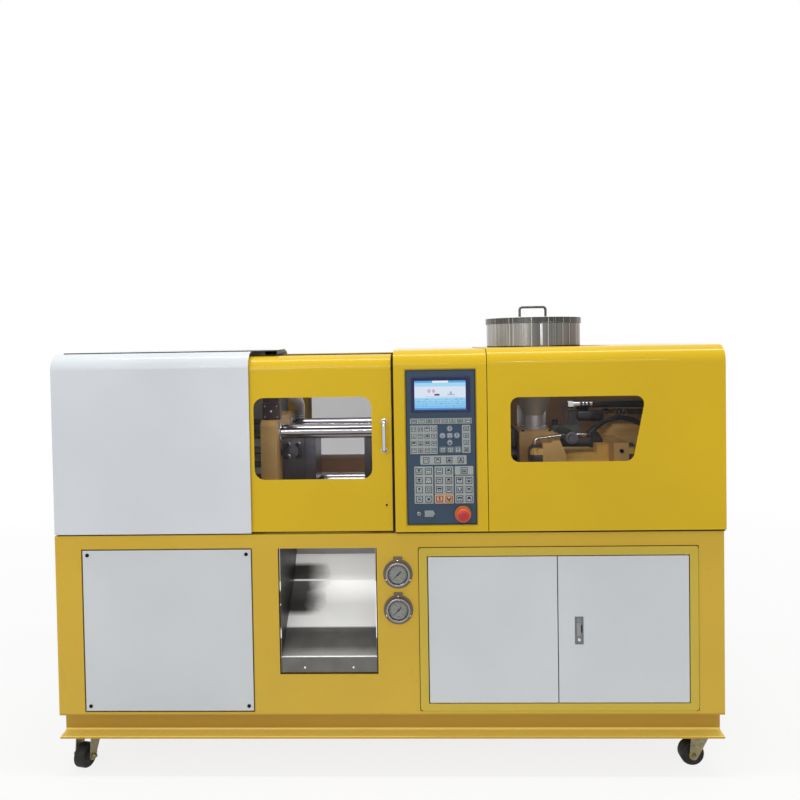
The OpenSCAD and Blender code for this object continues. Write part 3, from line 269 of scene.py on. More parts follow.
def powder_coat(name, colour, roughness, dust=0.0, worn=0.0, coat=0.5):
    """Colour times slow and quick drift, browner with dust near the floor, scuffed where worn."""
    paint = Finish(name)
    slow = paint.grain(0.55, 2.0)
    quick = paint.grain(0.02, 3.0)
    low = 1.0 - paint.axis("Z").step(0.1, 0.75)
    body = paint.mix(slow.step(0.35, 0.65), shade(colour, 0.95), shade(colour, 1.04))
    body = paint.mix(quick.step(0.55, 0.8) * 0.08, body, shade(colour, 0.85))
    if dust > 0:
        body = paint.mix((low * 0.5 + slow * 0.5) * dust, body, DUST_BROWN)
    if worn > 0:
        scuff = (paint.grain(0.05, 6.0, (1.0, 1.0, 0.5), 0.7) > 0.66) * (slow > 0.5)
        body = paint.mix(scuff * worn, body, shade(colour, 0.5))
    paint.set("Base Color", body)
    smudge = paint.grain(0.14, 4.0, (1.0, 1.0, 1.6))
    paint.set("Roughness", roughness + (smudge - 0.5) * 0.22 + (quick - 0.5) * 0.06)
    paint.bump(paint.grain(0.0035, 1.0) + paint.grain(0.05, 1.0) * 0.8, 0.00004)
    paint.set("Specular IOR Level", 0.12)
    paint.set("Coat Weight", coat)
    paint.set("Coat IOR", 1.35)
    paint.set("Coat Roughness", 0.05)
    paint.body = body
    return paint


cover_yellow = powder_coat("cover_yellow", COVER_YELLOW, 0.36)
base_ochre = powder_coat("base_ochre", (0.585, 0.382, 0.036), 0.46, dust=0.10, worn=0.25, coat=0.25)
cabinet_yellow = powder_coat("cabinet_yellow", (0.530, 0.390, 0.046), 0.40, dust=0.03)
cover_white = powder_coat("cover_white", (0.585, 0.612, 0.645), 0.34)
panel_white = powder_coat("panel_white", (0.560, 0.585, 0.605), 0.38, dust=0.02, coat=0.3)
give(cover_yellow, "safety_door", "rear_guard", "control_column")
give(cabinet_yellow, "electrical_box")
give(base_ochre, "base_front", "base_back", "base_ends", "base_deck", "base_floor")
give(cover_white, "clamp_cover")
give(panel_white, "access_panel", "cabinet_door_left", "cabinet_door_right")
print("paints: cover yellow, ochre, cabinet yellow and two whites")

# %% [markdown]
# Two sheets need a little more. The hood's back wall is painted a paler tan on the inside, painted
# light that lifts it out of the hood's shade; its place in X, Y and Z picks it out. The channel frame
# stands out from the wall above it, and its upward faces carry a painted highlight, as if the lamps
# overhead fell on them.

# %% Hood and channel frame
hood_yellow = powder_coat("hood_yellow", COVER_YELLOW, 0.36)
# painted light: the inside of the hood's back wall is paler, to lift it out of the hood's shade
painted_light_inside_back = hood_yellow.axis("Y").between(0.31, 0.3312)
painted_light_inside_back = painted_light_inside_back * hood_yellow.axis("X").between(0.304, 0.966) * (hood_yellow.axis("Z") < 1.20)
hood_yellow.set("Base Color", hood_yellow.mix(painted_light_inside_back, hood_yellow.body, (0.80, 0.57, 0.36)))
give(hood_yellow, "injection_cover")

channel_ochre = powder_coat("channel_ochre", (0.44, 0.26, 0.024), 0.42, dust=0.08, worn=0.3, coat=0.3)
# painted highlight: faces that look up are a much lighter yellow, as if the overhead lamps fell on them
painted_highlight_upward = channel_ochre.facing("Z").step(0.3, 0.9)
channel_ochre.set("Base Color", channel_ochre.mix(painted_highlight_upward, channel_ochre.body, (0.90, 0.68, 0.13)))
give(channel_ochre, "plinth")
print("paints: hood yellow and channel ochre")

# %% [markdown]
# ## Bare metals
# Brushed stainless shows fine lines in one direction, chrome shows almost nothing but the room, and
# ground tool steel lies between them. The lines are a fine noise stretched ninety times along one axis.

# %% Brushed and plated metal
LINE_WIDTH, LINE_STRETCH = 0.0012, 90.0


def metal(name, colour, roughness, lines, line_axis, spots=0.0, spot_colour=(0.03, 0.03, 0.035)):
    """Metal whose roughness and height follow a noise stretched along one axis."""
    plate = Finish(name)
    stretch = [LINE_STRETCH if axis == line_axis else 1.0 for axis in "XYZ"]
    streak = plate.grain(LINE_WIDTH, 2.0, stretch)
    cloud = plate.grain(0.09, 3.0)
    body = plate.mix(cloud.step(0.3, 0.7), shade(colour, 0.86), colour)
    body = plate.mix((streak > 0.56) * lines, body, shade(colour, 0.6))
    if spots > 0:
        body = plate.mix((plate.grain(0.02, 5.0) > 0.62) * spots, body, spot_colour)
    plate.set("Base Color", body)
    plate.set("Metallic", 1.0)
    plate.set("Roughness", roughness + (streak - 0.5) * lines + (cloud - 0.5) * 0.1)
    plate.bump(streak, 0.00002)
    return plate


chrome = metal("hard_chrome", (0.62, 0.62, 0.64), 0.10, 0.05, "X")
bar_chrome = metal("tie_bar_chrome", (0.36, 0.35, 0.38), 0.11, 0.08, "X")
bright_steel = metal("bright_steel", (0.66, 0.66, 0.66), 0.22, 0.10, "Z")
tool_steel = metal("ground_tool_steel", (0.115, 0.108, 0.125), 0.34, 0.20, "Z", spots=0.3)
dark_steel = metal("oiled_dark_steel", (0.055, 0.050, 0.052), 0.36, 0.15, "X", 0.3, (0.02, 0.02, 0.02))
give(chrome, "safety_door_handle", "clamp_rod", "steel_pipe", "injection_rails")
give(bar_chrome, "tie_bars")
give(tool_steel, "mold_fixed_half", "mold_moving_half", "clamp_cylinder")
give(dark_steel, "door_rails", "barrel", "screw_motor")
print("metals: two chromes, bright, tool and dark steel")

# %% [markdown]
# ## The stainless drum and chute
# Rolled stainless shows tall soft bands that run up the drum, because the sheet is never quite round
# and mirrors the room unevenly; here the bands are painted reflections. They are a noise along one
# number, the way round the drum's axis, so they stay upright. More painted reflection makes the drum
# paler on its left and brown on its right, and under the hood it is painted paler, as painted light
# in the hood's shade. The chute is plain 2B sheet: cloudy, with painted light and shade, dark on its
# sloping floor and bright on its upright back.

# %% Rolled stainless
hopper_low, hopper_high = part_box("hopper")
hopper_centre = ((hopper_low[0] + hopper_high[0]) / 2, 0.014)
hood_top_z = 1.247


def drum(name, light, dark, reflected_brown, roughness):
    """Bands along the angle round the hopper's axis: arctan2(y, x) is the way round."""
    sheet = Finish(name)
    right, back = sheet.axis("X") - hopper_centre[0], sheet.axis("Y") - hopper_centre[1]
    round_it = right.maths("ARCTAN2", back, right)
    wide = sheet.line_noise(round_it * 3.2 + 5.0, 2.0).step(0.36, 0.62)
    fine = sheet.line_noise(round_it * 26.0, 3.0)
    # painted reflections: the tall bands, and a paler left side of the drum
    body = sheet.mix(wide * 0.18 + (1.0 - right.step(-0.12, 0.0)) * 0.46, dark, light)
    # painted reflection: the right side of the drum is painted a warm brown
    body = sheet.mix(right.step(0.05, 0.12) * 0.6, body, reflected_brown)
    body = sheet.mix((fine > 0.60) * 0.55, body, shade(dark, 0.7))
    body = sheet.mix((fine < 0.36) * 0.5, body, (0.72, 0.71, 0.69))
    streak = sheet.grain(0.0015, 2.0, (1.0, 1.0, 60.0))
    body = sheet.mix((streak > 0.58) * 0.18, body, shade(dark, 0.8))
    flat = sheet.facing("Z").size() > 0.7
    pressed = sheet.grain(0.05, 3.0) * 0.6 + streak * 0.4
    body = sheet.mix(flat, body, sheet.mix(pressed, (0.26, 0.26, 0.255), (0.40, 0.40, 0.39)))
    # painted light: under the hood the steel is painted paler and less metallic, to lift it out of the shade
    painted_light_under_hood = sheet.axis("Z") < hood_top_z
    sheet.set("Base Color", sheet.mix(painted_light_under_hood, body, (0.56, 0.55, 0.55)))
    sheet.set("Metallic", 1.0 - painted_light_under_hood * 0.7)
    sheet.set("Roughness", roughness + (fine - 0.5) * 0.15)
    sheet.bump(sheet.line_noise(round_it * 9.0) * (1.0 - flat) * 0.7 + streak * 0.1, 0.0008)
    return sheet


rolled = drum("rolled_stainless", (0.60, 0.57, 0.52), (0.11, 0.108, 0.10), (0.20, 0.145, 0.115), 0.24)
lid_steel = drum("lid_stainless", (0.16, 0.16, 0.155), (0.06, 0.06, 0.058), (0.12, 0.10, 0.09), 0.30)
give(rolled, "hopper")
give(lid_steel, "hopper_lid")
print("stainless: drum and lid, round", [round(c, 3) for c in hopper_centre])

# %% [markdown]
# The chute has four zones, each found by its height or its direction, and its light and shade are
# painted. The sloping floor is painted dark, the upright back is painted bright and glows a little as
# if it faced the lamps, the cheeks and a strip along the top carry painted shade, and a dark patch on
# the left of the back is a painted reflection of the inside of the machine. One bent line across it
# stays bright, and a thin line marks the lip, both painted highlights.

# %% Chute
chute_steel = Finish("chute_stainless")
cloud = chute_steel.grain(0.07, 4.0)
smear = chute_steel.grain(0.004, 3.0, (9.0, 1.0, 1.0))
level = chute_steel.axis("Z")
# painted light and shade: the floor below the bend is painted dark, the upright back above it bright
upright = level.step(0.409, 0.413)
# painted reflection: a dark patch on the left of the back, broken by a painted highlight along the bend
left_side = 1.0 - (chute_steel.axis("X") + (cloud - 0.5) * 0.06).step(-0.265, -0.195)
mirrored = level.step(0.432, 0.445) * (1.0 - level.step(0.545, 0.556))
bend_highlight = level.between(0.507, 0.5115)
painted_reflection_patch = left_side * mirrored * (1.0 - bend_highlight * 0.8)
front_edge = chute_steel.axis("Y").between(-0.292, -0.287)
# painted shade on the cheeks and along the top strip, and a painted highlight along the lip
cheek_shade = (chute_steel.facing("X").size() > 0.5) * (1.0 - front_edge)
top_shade = (level > 0.577) * 0.75
lip_highlight = level.between(0.3535, 0.3565)
pale = chute_steel.mix(cloud.step(0.35, 0.65), (0.86, 0.865, 0.86), (0.96, 0.965, 0.96))
shaded_floor_grey = chute_steel.mix(cloud.step(0.3, 0.7), (0.115, 0.113, 0.107), (0.165, 0.163, 0.156))
bright = upright * (1.0 - painted_reflection_patch) * (1.0 - cheek_shade) * (1.0 - top_shade)
# painted highlights: light streaks on the lit back and the line along the lip
shine = (smear > 0.6) * 0.18 * bright + lip_highlight * 0.9
sheet_body = chute_steel.mix(bright, shaded_floor_grey, pale)
sheet_body = chute_steel.mix(painted_reflection_patch * 0.6, sheet_body, (0.035, 0.034, 0.032))
sheet_body = chute_steel.mix(cheek_shade * (0.75 - upright * 0.1), sheet_body, (0.03, 0.03, 0.03))
sheet_body = chute_steel.mix(shine, sheet_body, (0.62, 0.61, 0.58))
chute_steel.set("Base Color", sheet_body)
chute_steel.set("Metallic", 0.55 - bright * 0.3)
# painted light: the lit back glows a little, though it is no lamp
chute_steel.set("Emission Color", chute_steel.mix(bright, (0.0, 0.0, 0.0), (0.20, 0.20, 0.195)))
chute_steel.set("Emission Strength", 1.0)
chute_steel.set("Roughness", 0.42 + (cloud - 0.5) * 0.2 + (smear - 0.5) * 0.1)
chute_steel.bump(cloud + smear * 0.3, 0.0006)
give(chute_steel, "chute")
print("stainless: chute")

# %% [markdown]
# ## Enamel, zinc, rubber and foil
# Most other parts are a plain colour that drifts a little, so one function makes them, and each then
# gets what is its own. The castings inside wear a tan enamel, rubbed through to dark iron in small
# patches. The cylinders' tubes are a little more orange, and both their ends are dark, but for the
# front of a port.

# %% A plain colour that drifts, and the castings
def coated(name, colour, roughness, drift=0.2, size=0.02, depth=0.0001, metallic=0.0, shine=0.3):
    """A colour that drifts by a share of itself over blobs of one size, with a relief of the same noise."""
    coat = Finish(name)
    blob = coat.grain(size, 3.0)
    coat.body = coat.mix(blob.step(0.3, 0.7), shade(colour, 1 - drift), colour)
    coat.set("Base Color", coat.body)
    coat.set("Roughness", roughness + (blob - 0.5) * 0.15)
    coat.set("Metallic", metallic)
    coat.set("Specular IOR Level", shine)
    coat.bump(blob, depth)
    return coat


enamel = coated("tan_enamel", (0.70, 0.43, 0.15), 0.40, drift=0.15, size=0.05, depth=0.00015)
rubbed = (enamel.grain(0.012, 6.0, rough=0.7) > 0.68) * (enamel.grain(0.12, 2.0) > 0.52)
enamel.set("Base Color", enamel.mix(rubbed * 0.55, enamel.body, (0.13, 0.09, 0.05)))
give(enamel, "fixed_platen", "moving_platen", "tail_platen", "feed_block", "thrust_plate")

cylinder_enamel = coated("cylinder_enamel", (0.80, 0.48, 0.11), 0.36, drift=0.12, size=0.05, depth=0.00015)
along = cylinder_enamel.axis("X")
both_ends = along.maths("MAXIMUM", along < 0.4768, along > 0.7352)
port = (cylinder_enamel.axis("Y") < -0.1575) * cylinder_enamel.axis("Z").between(0.9195, 0.9395)
dark_ends = both_ends * (1.0 - port)
cylinder_enamel.set("Base Color", cylinder_enamel.mix(dark_ends, cylinder_enamel.body, (0.085, 0.075, 0.085)))
give(cylinder_enamel, "injection_cylinders")
print("castings and cylinders enamelled")

# %% [markdown]
# Casters are zinc plated, splashed with the frame's paint when that was sprayed, and grimy. Their
# tyres carry the dust of the floor. The roof sheet is galvanised, and its front edge, underside and
# slanted end are painted dark, as painted shade.

# %% Casters and roof sheet
zinc = coated("splashed_zinc", (0.30, 0.27, 0.16), 0.45, 0.3, 0.012, 0.0002, metallic=0.7, shine=0.4)
splash = zinc.grain(0.022, 4.0).step(0.56, 0.60)
grime = zinc.grain(0.006, 5.0).step(0.50, 0.75)
zinc_body = zinc.mix(splash * 0.75, zinc.body, (0.40, 0.27, 0.05))
zinc.set("Base Color", zinc.mix(grime * 0.6, zinc_body, (0.055, 0.048, 0.03)))
zinc.set("Metallic", (1.0 - splash) * 0.6)
give(zinc, "caster_plates", "caster_fork_front_left", "caster_fork_front_right")
give(zinc, "caster_fork_rear_left", "caster_fork_rear_right")

roof_steel = coated("roof_sheet", (0.62, 0.63, 0.64), 0.55, drift=0.08, size=0.1, shine=0.4)
# painted shade: the front edge, the underside and the slanted end's outer face are dark
roof_painted_shade = roof_steel.axis("Y") < -0.243
roof_painted_shade = roof_painted_shade.maths("MAXIMUM", roof_painted_shade, roof_steel.facing("Z") < -0.5)
roof_painted_shade = roof_painted_shade.maths("MAXIMUM", roof_painted_shade, roof_steel.facing("X") > 0.5)
roof_steel.set("Base Color", roof_steel.mix(roof_painted_shade, roof_steel.body, (0.05, 0.055, 0.045)))

tyre = coated("caster_tyre", (0.022, 0.021, 0.020), 0.62, 0.35, 0.006, 0.0006, shine=0.25)
dusty = tyre.grain(0.02, 4.0).step(0.5, 0.8)
tyre.set("Base Color", tyre.mix(dusty * 0.35, tyre.body, (0.10, 0.09, 0.07)))
for corner in ("front_left", "front_right", "rear_left", "rear_right"):
    give(tyre, "caster_wheel_" + corner)
print("casters and roof sheet: zinc, tyre and galvanised steel")

# %% [markdown]
# Hoses are black rubber with a fine cloth weave. The valve stack is one node but three castings, so
# its finish tells them apart by their place: a green block, a brown post and dark iron for the rest.
# The control panel, its bezel and the gauge cases are almost flat colours.

# %% Hoses, valves, foil and bezels
rubber = coated("hose_rubber", (0.016, 0.016, 0.018), 0.42, 0.3, 0.01, 0.0002)
weave = rubber.grain(0.0012, 1.0, (2.0, 1.0, 1.0))
rubber.bump(weave, 0.0003)
give(rubber, "hydraulic_hoses")

valve_iron = (0.050, 0.043, 0.045)
valve_body = coated("valve_castings", valve_iron, 0.34, 0.35, depth=0.0003, metallic=0.5, shine=0.5)
valve_x, valve_z = valve_body.axis("X"), valve_body.axis("Z")
green_block = valve_x.between(0.533, 0.625) * valve_z.between(0.960, 0.9905)
brown_post = valve_x.between(0.562, 0.5885) * (valve_z > 0.9905)
finish_now = valve_body.mix(green_block, valve_body.body, (0.085, 0.095, 0.075))
finish_now = valve_body.mix(brown_post, finish_now, (0.060, 0.028, 0.018))
valve_body.set("Base Color", finish_now)
give(valve_body, "valve_manifold")

slate = coated("slate_foil", (0.038, 0.064, 0.100), 0.42, 0.08, 0.05, 0.00003, shine=0.2)
give(slate, "control_panel")
navy = coated("navy_bezel", (0.012, 0.014, 0.075), 0.25, 0.1, 0.03, 0.00003)
give(navy, "display")
gauge_case = coated("gauge_case", (0.15, 0.122, 0.090), 0.36, 0.15, 0.02, 0.00005, metallic=0.4, shine=0.4)
give(gauge_case, "pressure_gauges")
print("hoses, valve castings, foil, bezel and gauge cases")

# %% [markdown]
# The windows are thin polycarbonate. Their Alpha is low and drifts a little, as a wiped sheet does,
# which shows what lies behind them without the cost of refraction. The rear one is smoked.

# %% Clear and smoked sheet
clear = Finish("clear_sheet")
haze = clear.grain(0.06, 4.0)
clear.set("Base Color", clear.mix(haze.step(0.4, 0.7), (0.10, 0.10, 0.12), (0.16, 0.16, 0.18)))
clear.set("Roughness", 0.05 + haze * 0.08)
clear.set("Alpha", 0.045 + (haze - 0.5) * 0.02)
clear.set("Specular IOR Level", 0.4)
give(clear, "safety_door_window", "injection_window")
smoked = coated("smoked_sheet", (0.30, 0.30, 0.33), 0.1, 0.1, 0.2, 0.00001)
smoked.set("Alpha", 0.34 + (smoked.grain(0.3) - 0.5) * 0.08)
give(smoked, "rear_guard_window")
print("three windows: two clear, one smoked")

# %% [markdown]
# ## Surfaces from numbers
# Every small piece below is a closed skin: rings of points, one above another, joined by quads and
# closed at both ends by a fan. A turned knob is circles of changing radius, a key cap is rounded
# rectangles that draw in, a hose is circles carried along a path. Shapes are written in millimetres
# round their own origin, looking up, and are then turned to face outwards and moved into place.

# %% A shape and how it is moved
# Where a shape's own X, Y and Z point once it faces each way.
AXES = {
    "up": ((1, 0, 0), (0, 1, 0), (0, 0, 1)),
    "down": ((1, 0, 0), (0, -1, 0), (0, 0, -1)),
    "front": ((1, 0, 0), (0, 0, 1), (0, -1, 0)),
    "back": ((-1, 0, 0), (0, 0, 1), (0, 1, 0)),
    "right": ((0, 1, 0), (0, 0, 1), (1, 0, 0)),
    "left": ((0, -1, 0), (0, 0, 1), (-1, 0, 0)),
}


class Shape:
    """Points in mm, the quads and triangles between them, and two marks per point for a finish to read."""

    def __init__(self, points, quads, triangles, marks=None):
        self.points = np.asarray(points, float).reshape(-1, 3)
        self.quads = np.asarray(quads, int).reshape(-1, 4)
        self.triangles = np.asarray(triangles, int).reshape(-1, 3)
        self.marks = np.zeros((len(self.points), 2)) if marks is None else marks

    def volume(self):
        """A sixth of the sum of a . (b x c) over all triangles: positive when the faces look outwards."""
        halves = np.vstack([self.triangles, self.quads[:, :3], self.quads[:, [0, 2, 3]]])
        a, b, c = (self.points[halves[:, corner]] for corner in range(3))
        return float((a * np.cross(b, c)).sum()) / 6

    def outward(self):
        """The same shape with its faces looking outwards."""
        if self.volume() >= 0:
            return self
        return Shape(self.points, self.quads[:, ::-1], self.triangles[:, ::-1], self.marks)

    def at(self, place, facing="up"):
        """Turned so that its Z looks one way, then moved to a place."""
        rotated = self.points @ np.array(AXES[facing], float)
        return Shape(rotated + np.asarray(place, float), self.quads, self.triangles, self.marks)

    def turn(self, angle):
        """Turned about its own Z: x cos - y sin, x sin + y cos."""
        c, s = unit(angle)
        rotated = self.points @ np.array([[c, s, 0], [-s, c, 0], [0, 0, 1]], float)
        return Shape(rotated, self.quads, self.triangles, self.marks)


def join(shapes):
    """One shape of many: points one after another, with each shape's faces counted on from them."""
    starts = np.cumsum([0] + [len(s.points) for s in shapes])
    return Shape(
        np.concatenate([s.points for s in shapes]),
        np.concatenate([s.quads + n for s, n in zip(shapes, starts)]),
        np.concatenate([s.triangles + n for s, n in zip(shapes, starts)]),
        np.concatenate([s.marks for s in shapes]),
    )


# %% [markdown]
# An outline is a ring of points in a plane. A skin stacks outlines, and the other functions are
# ways to stack them: up an axis, drawing inwards, or along a path.

# %% Outlines
def circle(radius, count=32, scale=1.0):
    """Points (r cos a, r sin a) evenly round a circle. The scale may differ from point to point."""
    angle = np.arange(count) * 2 * np.pi / count
    return np.stack([np.cos(angle), np.sin(angle)], axis=-1) * radius * np.reshape(scale, (-1, 1))


def star(sides, count):
    """How much farther a regular polygon reaches than its inner circle: 1 / cos of the angle to the flat."""
    angle = np.arange(count) * 2 * np.pi / count
    step = 2 * np.pi / sides
    return 1 / np.cos((angle % step) - step / 2)


def round_box(width, height, radius, per_corner=5):
    """Outline of a rectangle with round corners: corner centre + radius * (cos a, sin a)."""
    radius = max(min(radius, width / 2 - 0.01, height / 2 - 0.01), 0.01)
    quarter = np.linspace(0, np.pi / 2, per_corner)
    angle = (quarter + np.arange(4)[:, None] * np.pi / 2).ravel()
    signs = np.repeat([[1, 1], [-1, 1], [-1, -1], [1, -1]], per_corner, axis=0)
    centre = signs * (width / 2 - radius, height / 2 - radius)
    return centre + radius * np.stack([np.cos(angle), np.sin(angle)], axis=-1)


def lifted(outline, height):
    """A flat outline at a height."""
    return np.column_stack([outline, np.full(len(outline), float(height))])


print("a hexagon's corners are", round(float(star(6, 24).max()), 3), "times as far out as its flats")


# %% Skins
def skin(rings, ring_shaped=False):
    """The wall between rings of equally many points: quad (i, j), (i, j+1), (i+1, j+1), (i+1, j).

    A ring-shaped skin joins its last ring to its first. Any other is closed by a fan at both ends.
    """
    rings = np.asarray(rings, float)
    rows, columns = rings.shape[:2]
    number = np.arange(rows * columns).reshape(rows, columns)
    ahead = np.roll(number, -1, axis=1)
    if ring_shaped:
        lower, lower_ahead = number, ahead
        upper, upper_ahead = np.roll(number, -1, axis=0), np.roll(ahead, -1, axis=0)
        quads = np.stack([lower, lower_ahead, upper_ahead, upper], axis=-1)
        return Shape(rings, quads, []).outward()
    quads = np.stack([number[:-1], ahead[:-1], ahead[1:], number[1:]], axis=-1)
    points = np.vstack([rings.reshape(-1, 3), rings[[0, -1]].mean(axis=1)])
    bottom = np.stack([np.full(columns, rows * columns), ahead[0], number[0]], axis=-1)
    top = np.stack([np.full(columns, rows * columns + 1), number[-1], ahead[-1]], axis=-1)
    return Shape(points, quads, np.vstack([bottom, top])).outward()


def turned(profile, count=32, ring_shaped=False, scale=1.0):
    """A profile of (radius, height) pairs carried round the Z axis."""
    return skin([lifted(circle(r, count, scale), z) for r, z in profile], ring_shaped)


def drawn_in(width, height, radius, profile, ring_shaped=False):
    """Rounded rectangles stacked by a profile of (inset, height) pairs."""
    rings = [lifted(round_box(width - 2 * i, height - 2 * i, radius - i), z) for i, z in profile]
    return skin(rings, ring_shaped)


def swept(path, radius, sides=12, across=(0.0, 1.0, 0.0)):
    """Circles carried along a path: point + r (cos a * side + sin a * top), square to the way ahead."""
    path = np.asarray(path, float)
    ahead = np.gradient(path, axis=0)
    side = np.cross(ahead, across)
    side /= np.linalg.norm(side, axis=1, keepdims=True)
    top = np.cross(side, ahead)
    top /= np.linalg.norm(top, axis=1, keepdims=True)
    flat = circle(1.0, sides)
    reach = np.broadcast_to(np.asarray(radius, float), (len(path),))[:, None, None]
    return skin(path[:, None] + reach * (flat[:, :1] * side[:, None] + flat[:, 1:] * top[:, None]))


def through(points, count):
    """A smooth path through points: each stretch is the Catmull-Rom cubic of the four round it."""
    points = np.asarray(points, float)
    ends = np.vstack([2 * points[0] - points[1], points, 2 * points[-1] - points[-2]])
    along = np.linspace(0, len(points) - 1, count)
    first = np.minimum(along.astype(int), len(points) - 2)
    t = (along - first)[:, None]
    a, b, c, d = (ends[first + k] for k in range(4))
    return 0.5 * (2 * b + (c - a) * t + (2 * a - 5 * b + 4 * c - d) * t**2 + (3 * b - a - 3 * c + d) * t**3)


print("a skin of three circles has", len(turned([(1, 0), (1, 1), (0.5, 2)], 8).points), "points")


# %% [markdown]
# So far a shape is only numbers.

# %% From a shape to a piece that rides on a body
def piece(name, shape, finish, body, crisp=35):
    """A mesh of the shape in metres, smooth but for edges sharper than crisp degrees, on a body."""
    mesh = bpy.data.meshes.new(name)
    mesh.from_pydata((shape.points * mm).tolist(), [], shape.quads.tolist() + shape.triangles.tolist())
    corners = np.empty(len(mesh.loops), int)
    mesh.loops.foreach_get("vertex_index", corners)
    mesh.uv_layers.new(name="marks").data.foreach_set("uv", shape.marks[corners].ravel())
    mesh.shade_smooth()
    mesh.set_sharp_from_angle(angle=math.radians(crisp))
    mesh.materials.append(finish.material)
    made = bpy.data.objects.new(name, mesh)
    bpy.context.scene.collection.objects.link(made)
    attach(made, body)
    return made


def corner_mm(node):
    """A CAD node's lowest and highest corners, in mm."""
    return [np.array(corner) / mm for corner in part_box(node)]


print("the safety door starts at", corner_mm("safety_door")[0].round(1), "mm")

# %% [markdown]
# ## Screws, rivets and nuts
# Fasteners tell the eye how big a machine is, so they are worth real sockets. A hexagon is a circle
# whose radius is stretched towards its corners, so a round head can turn into a hexagonal pocket
# without changing the number of points in its rings.

# %% Four kinds of fastener
def button_screw(radius, height, count=24):
    """A low dome, then a hexagonal pocket: the pocket's ring is the circle stretched by star(6)."""
    dome = [(1.0, 0.0), (1.0, 0.3), (0.93, 0.62), (0.76, 0.88), (0.6, 1.0)]
    rings = [lifted(circle(radius * r, count), height * z) for r, z in dome]
    rings += [lifted(circle(radius * 0.44, count, star(6, count)), height * z) for z in (1.0, 0.35)]
    return skin(rings)


def cap_screw(radius, height, count=36):
    """A tall head with a knurled side, a small bevel and a hexagonal pocket."""
    knurl = 1 + 0.03 * np.cos(np.arange(count) * np.pi)
    six = star(6, count)
    side = [(1.0, 0.0, knurl), (1.0, 0.85, knurl), (0.93, 1.0, 1.0)]
    pocket = [(0.56, 1.0, six), (0.56, 0.45, six)]
    return skin([lifted(circle(radius * r, count, scale), height * z) for r, z, scale in side + pocket])


def hex_nut(flats, height, stud=0.0, count=24):
    """A hexagon with its corners turned off on top, and the rounded end of a stud above it."""
    six = star(6, count)
    half = flats / 2
    rings = [(half, 0.0, six), (half, 0.82, six), (half * 1.01, 0.9, 1.0), (half * 0.93, 1.0, 1.0)]
    if stud:
        rings += [(stud, 1.0, 1.0), (stud, 1.5, 1.0), (stud * 0.75, 1.62, 1.0)]
    else:
        rings += [(half * 0.5, 1.0, 1.0), (half * 0.45, 0.94, 1.0)]
    return skin([lifted(circle(r, count, scale), height * z) for r, z, scale in rings])


def rivet(radius, height):
    """A round head: radius and height follow a quarter of an ellipse."""
    angle = np.linspace(0, np.pi / 2 * 0.96, 7)
    return turned([(radius, -0.3)] + [(radius * math.cos(a), height * math.sin(a)) for a in angle], 20)


def corners_of(middle, reach):
    """Four places round a middle, a reach away in each of the two directions."""
    return [(middle[0] + a * reach[0], middle[1] + b * reach[1]) for a in (-1, 1) for b in (-1, 1)]


black_steel = coated("blackened_screw", (0.007, 0.007, 0.008), 0.5, 0.4, 0.003, 0.00005, shine=0.15)
bright_screw = metal("bright_screw", (0.74, 0.73, 0.71), 0.2, 0.05, "Z")
print("a button screw has", len(button_screw(5.5, 2.8).points), "points")

# %% [markdown]
# The panel's screws sit at an inset from its corners, and each is turned a little further than the
# last, because nobody stops a hex key at the same angle twice. The chute's lip has two rivets,
# and the door's bow handle stands on two turned feet.

# %% Screws on the access panel, the chute and the door
panel_low, panel_high = corner_mm("access_panel")
screw_inset, turn_each = 14, 17
panel_middle = (panel_high + panel_low)[[0, 2]] / 2
screw_reach = (panel_high - panel_low)[[0, 2]] / 2 - screw_inset
screws = []
for x, z in corners_of(panel_middle, screw_reach):
    screw = button_screw(5.5, 2.8).turn(turn_each * len(screws))
    screws.append(screw.at((x, panel_low[1], z), "front"))
piece("access_panel_screws", join(screws), black_steel, "machine")

chute_lip = (-290, 323)
chute_rivets = join([rivet(3.6, 1.6).at((x, *chute_lip), "front") for x in (-240, -98)])
piece("chute_lip_rivets", chute_rivets, bright_screw, "machine")

door_front = corner_mm("safety_door")[0][1]
door_screw = button_screw(3.2, 1.8).at((7, door_front, 799), "front")
piece("door_screw", door_screw, black_steel, "safety_door")
foot = [(9.0, -0.1), (9.0, 0.3), (8.0, 1.2), (6.6, 2.0), (5.8, 3.5)]
bow_x, bow_foot_y, bow_ends = 3, -298, (957.5, 1041.5)
handle_feet = join([turned(foot, 28).at((bow_x, bow_foot_y, z), "front") for z in bow_ends])
piece("door_handle_feet", handle_feet, chrome, "safety_door")
print("panel screws, chute rivets, door screw and the handle's feet")

# %% [markdown]
# ## Pressure gauges
# Each gauge is a flanged case with a rolled steel ring, a pale dial with a three-quarter scale, a
# black needle that rests at zero, a small hub and a domed glass. The scale is real geometry a tenth
# of a millimetre high, because a printed line stays crisp that way at any distance.

# %% Dial parts
def tick(angle, inner, outer, width):
    """A thin bar on the dial from one radius to another, at an angle counted anticlockwise from the right."""
    bar = skin([lifted(round_box(outer - inner, width, 0.05, 2), z) for z in (0.0, 0.1)])
    return bar.at(((inner + outer) / 2, 0, 0)).turn(angle)


def scale_arc(radius, width, start, end):
    """A thin flat arc: four corners of its cross-section carried round from one angle to another."""
    count = 90
    angle = np.radians(np.linspace(start, end, count))[:, None]
    r = np.array([radius, radius + width, radius + width, radius])
    z = np.array([0.0, 0.0, 0.1, 0.1])
    return skin(np.stack([r * np.cos(angle), r * np.sin(angle), np.broadcast_to(z, (count, 4))], axis=-1))


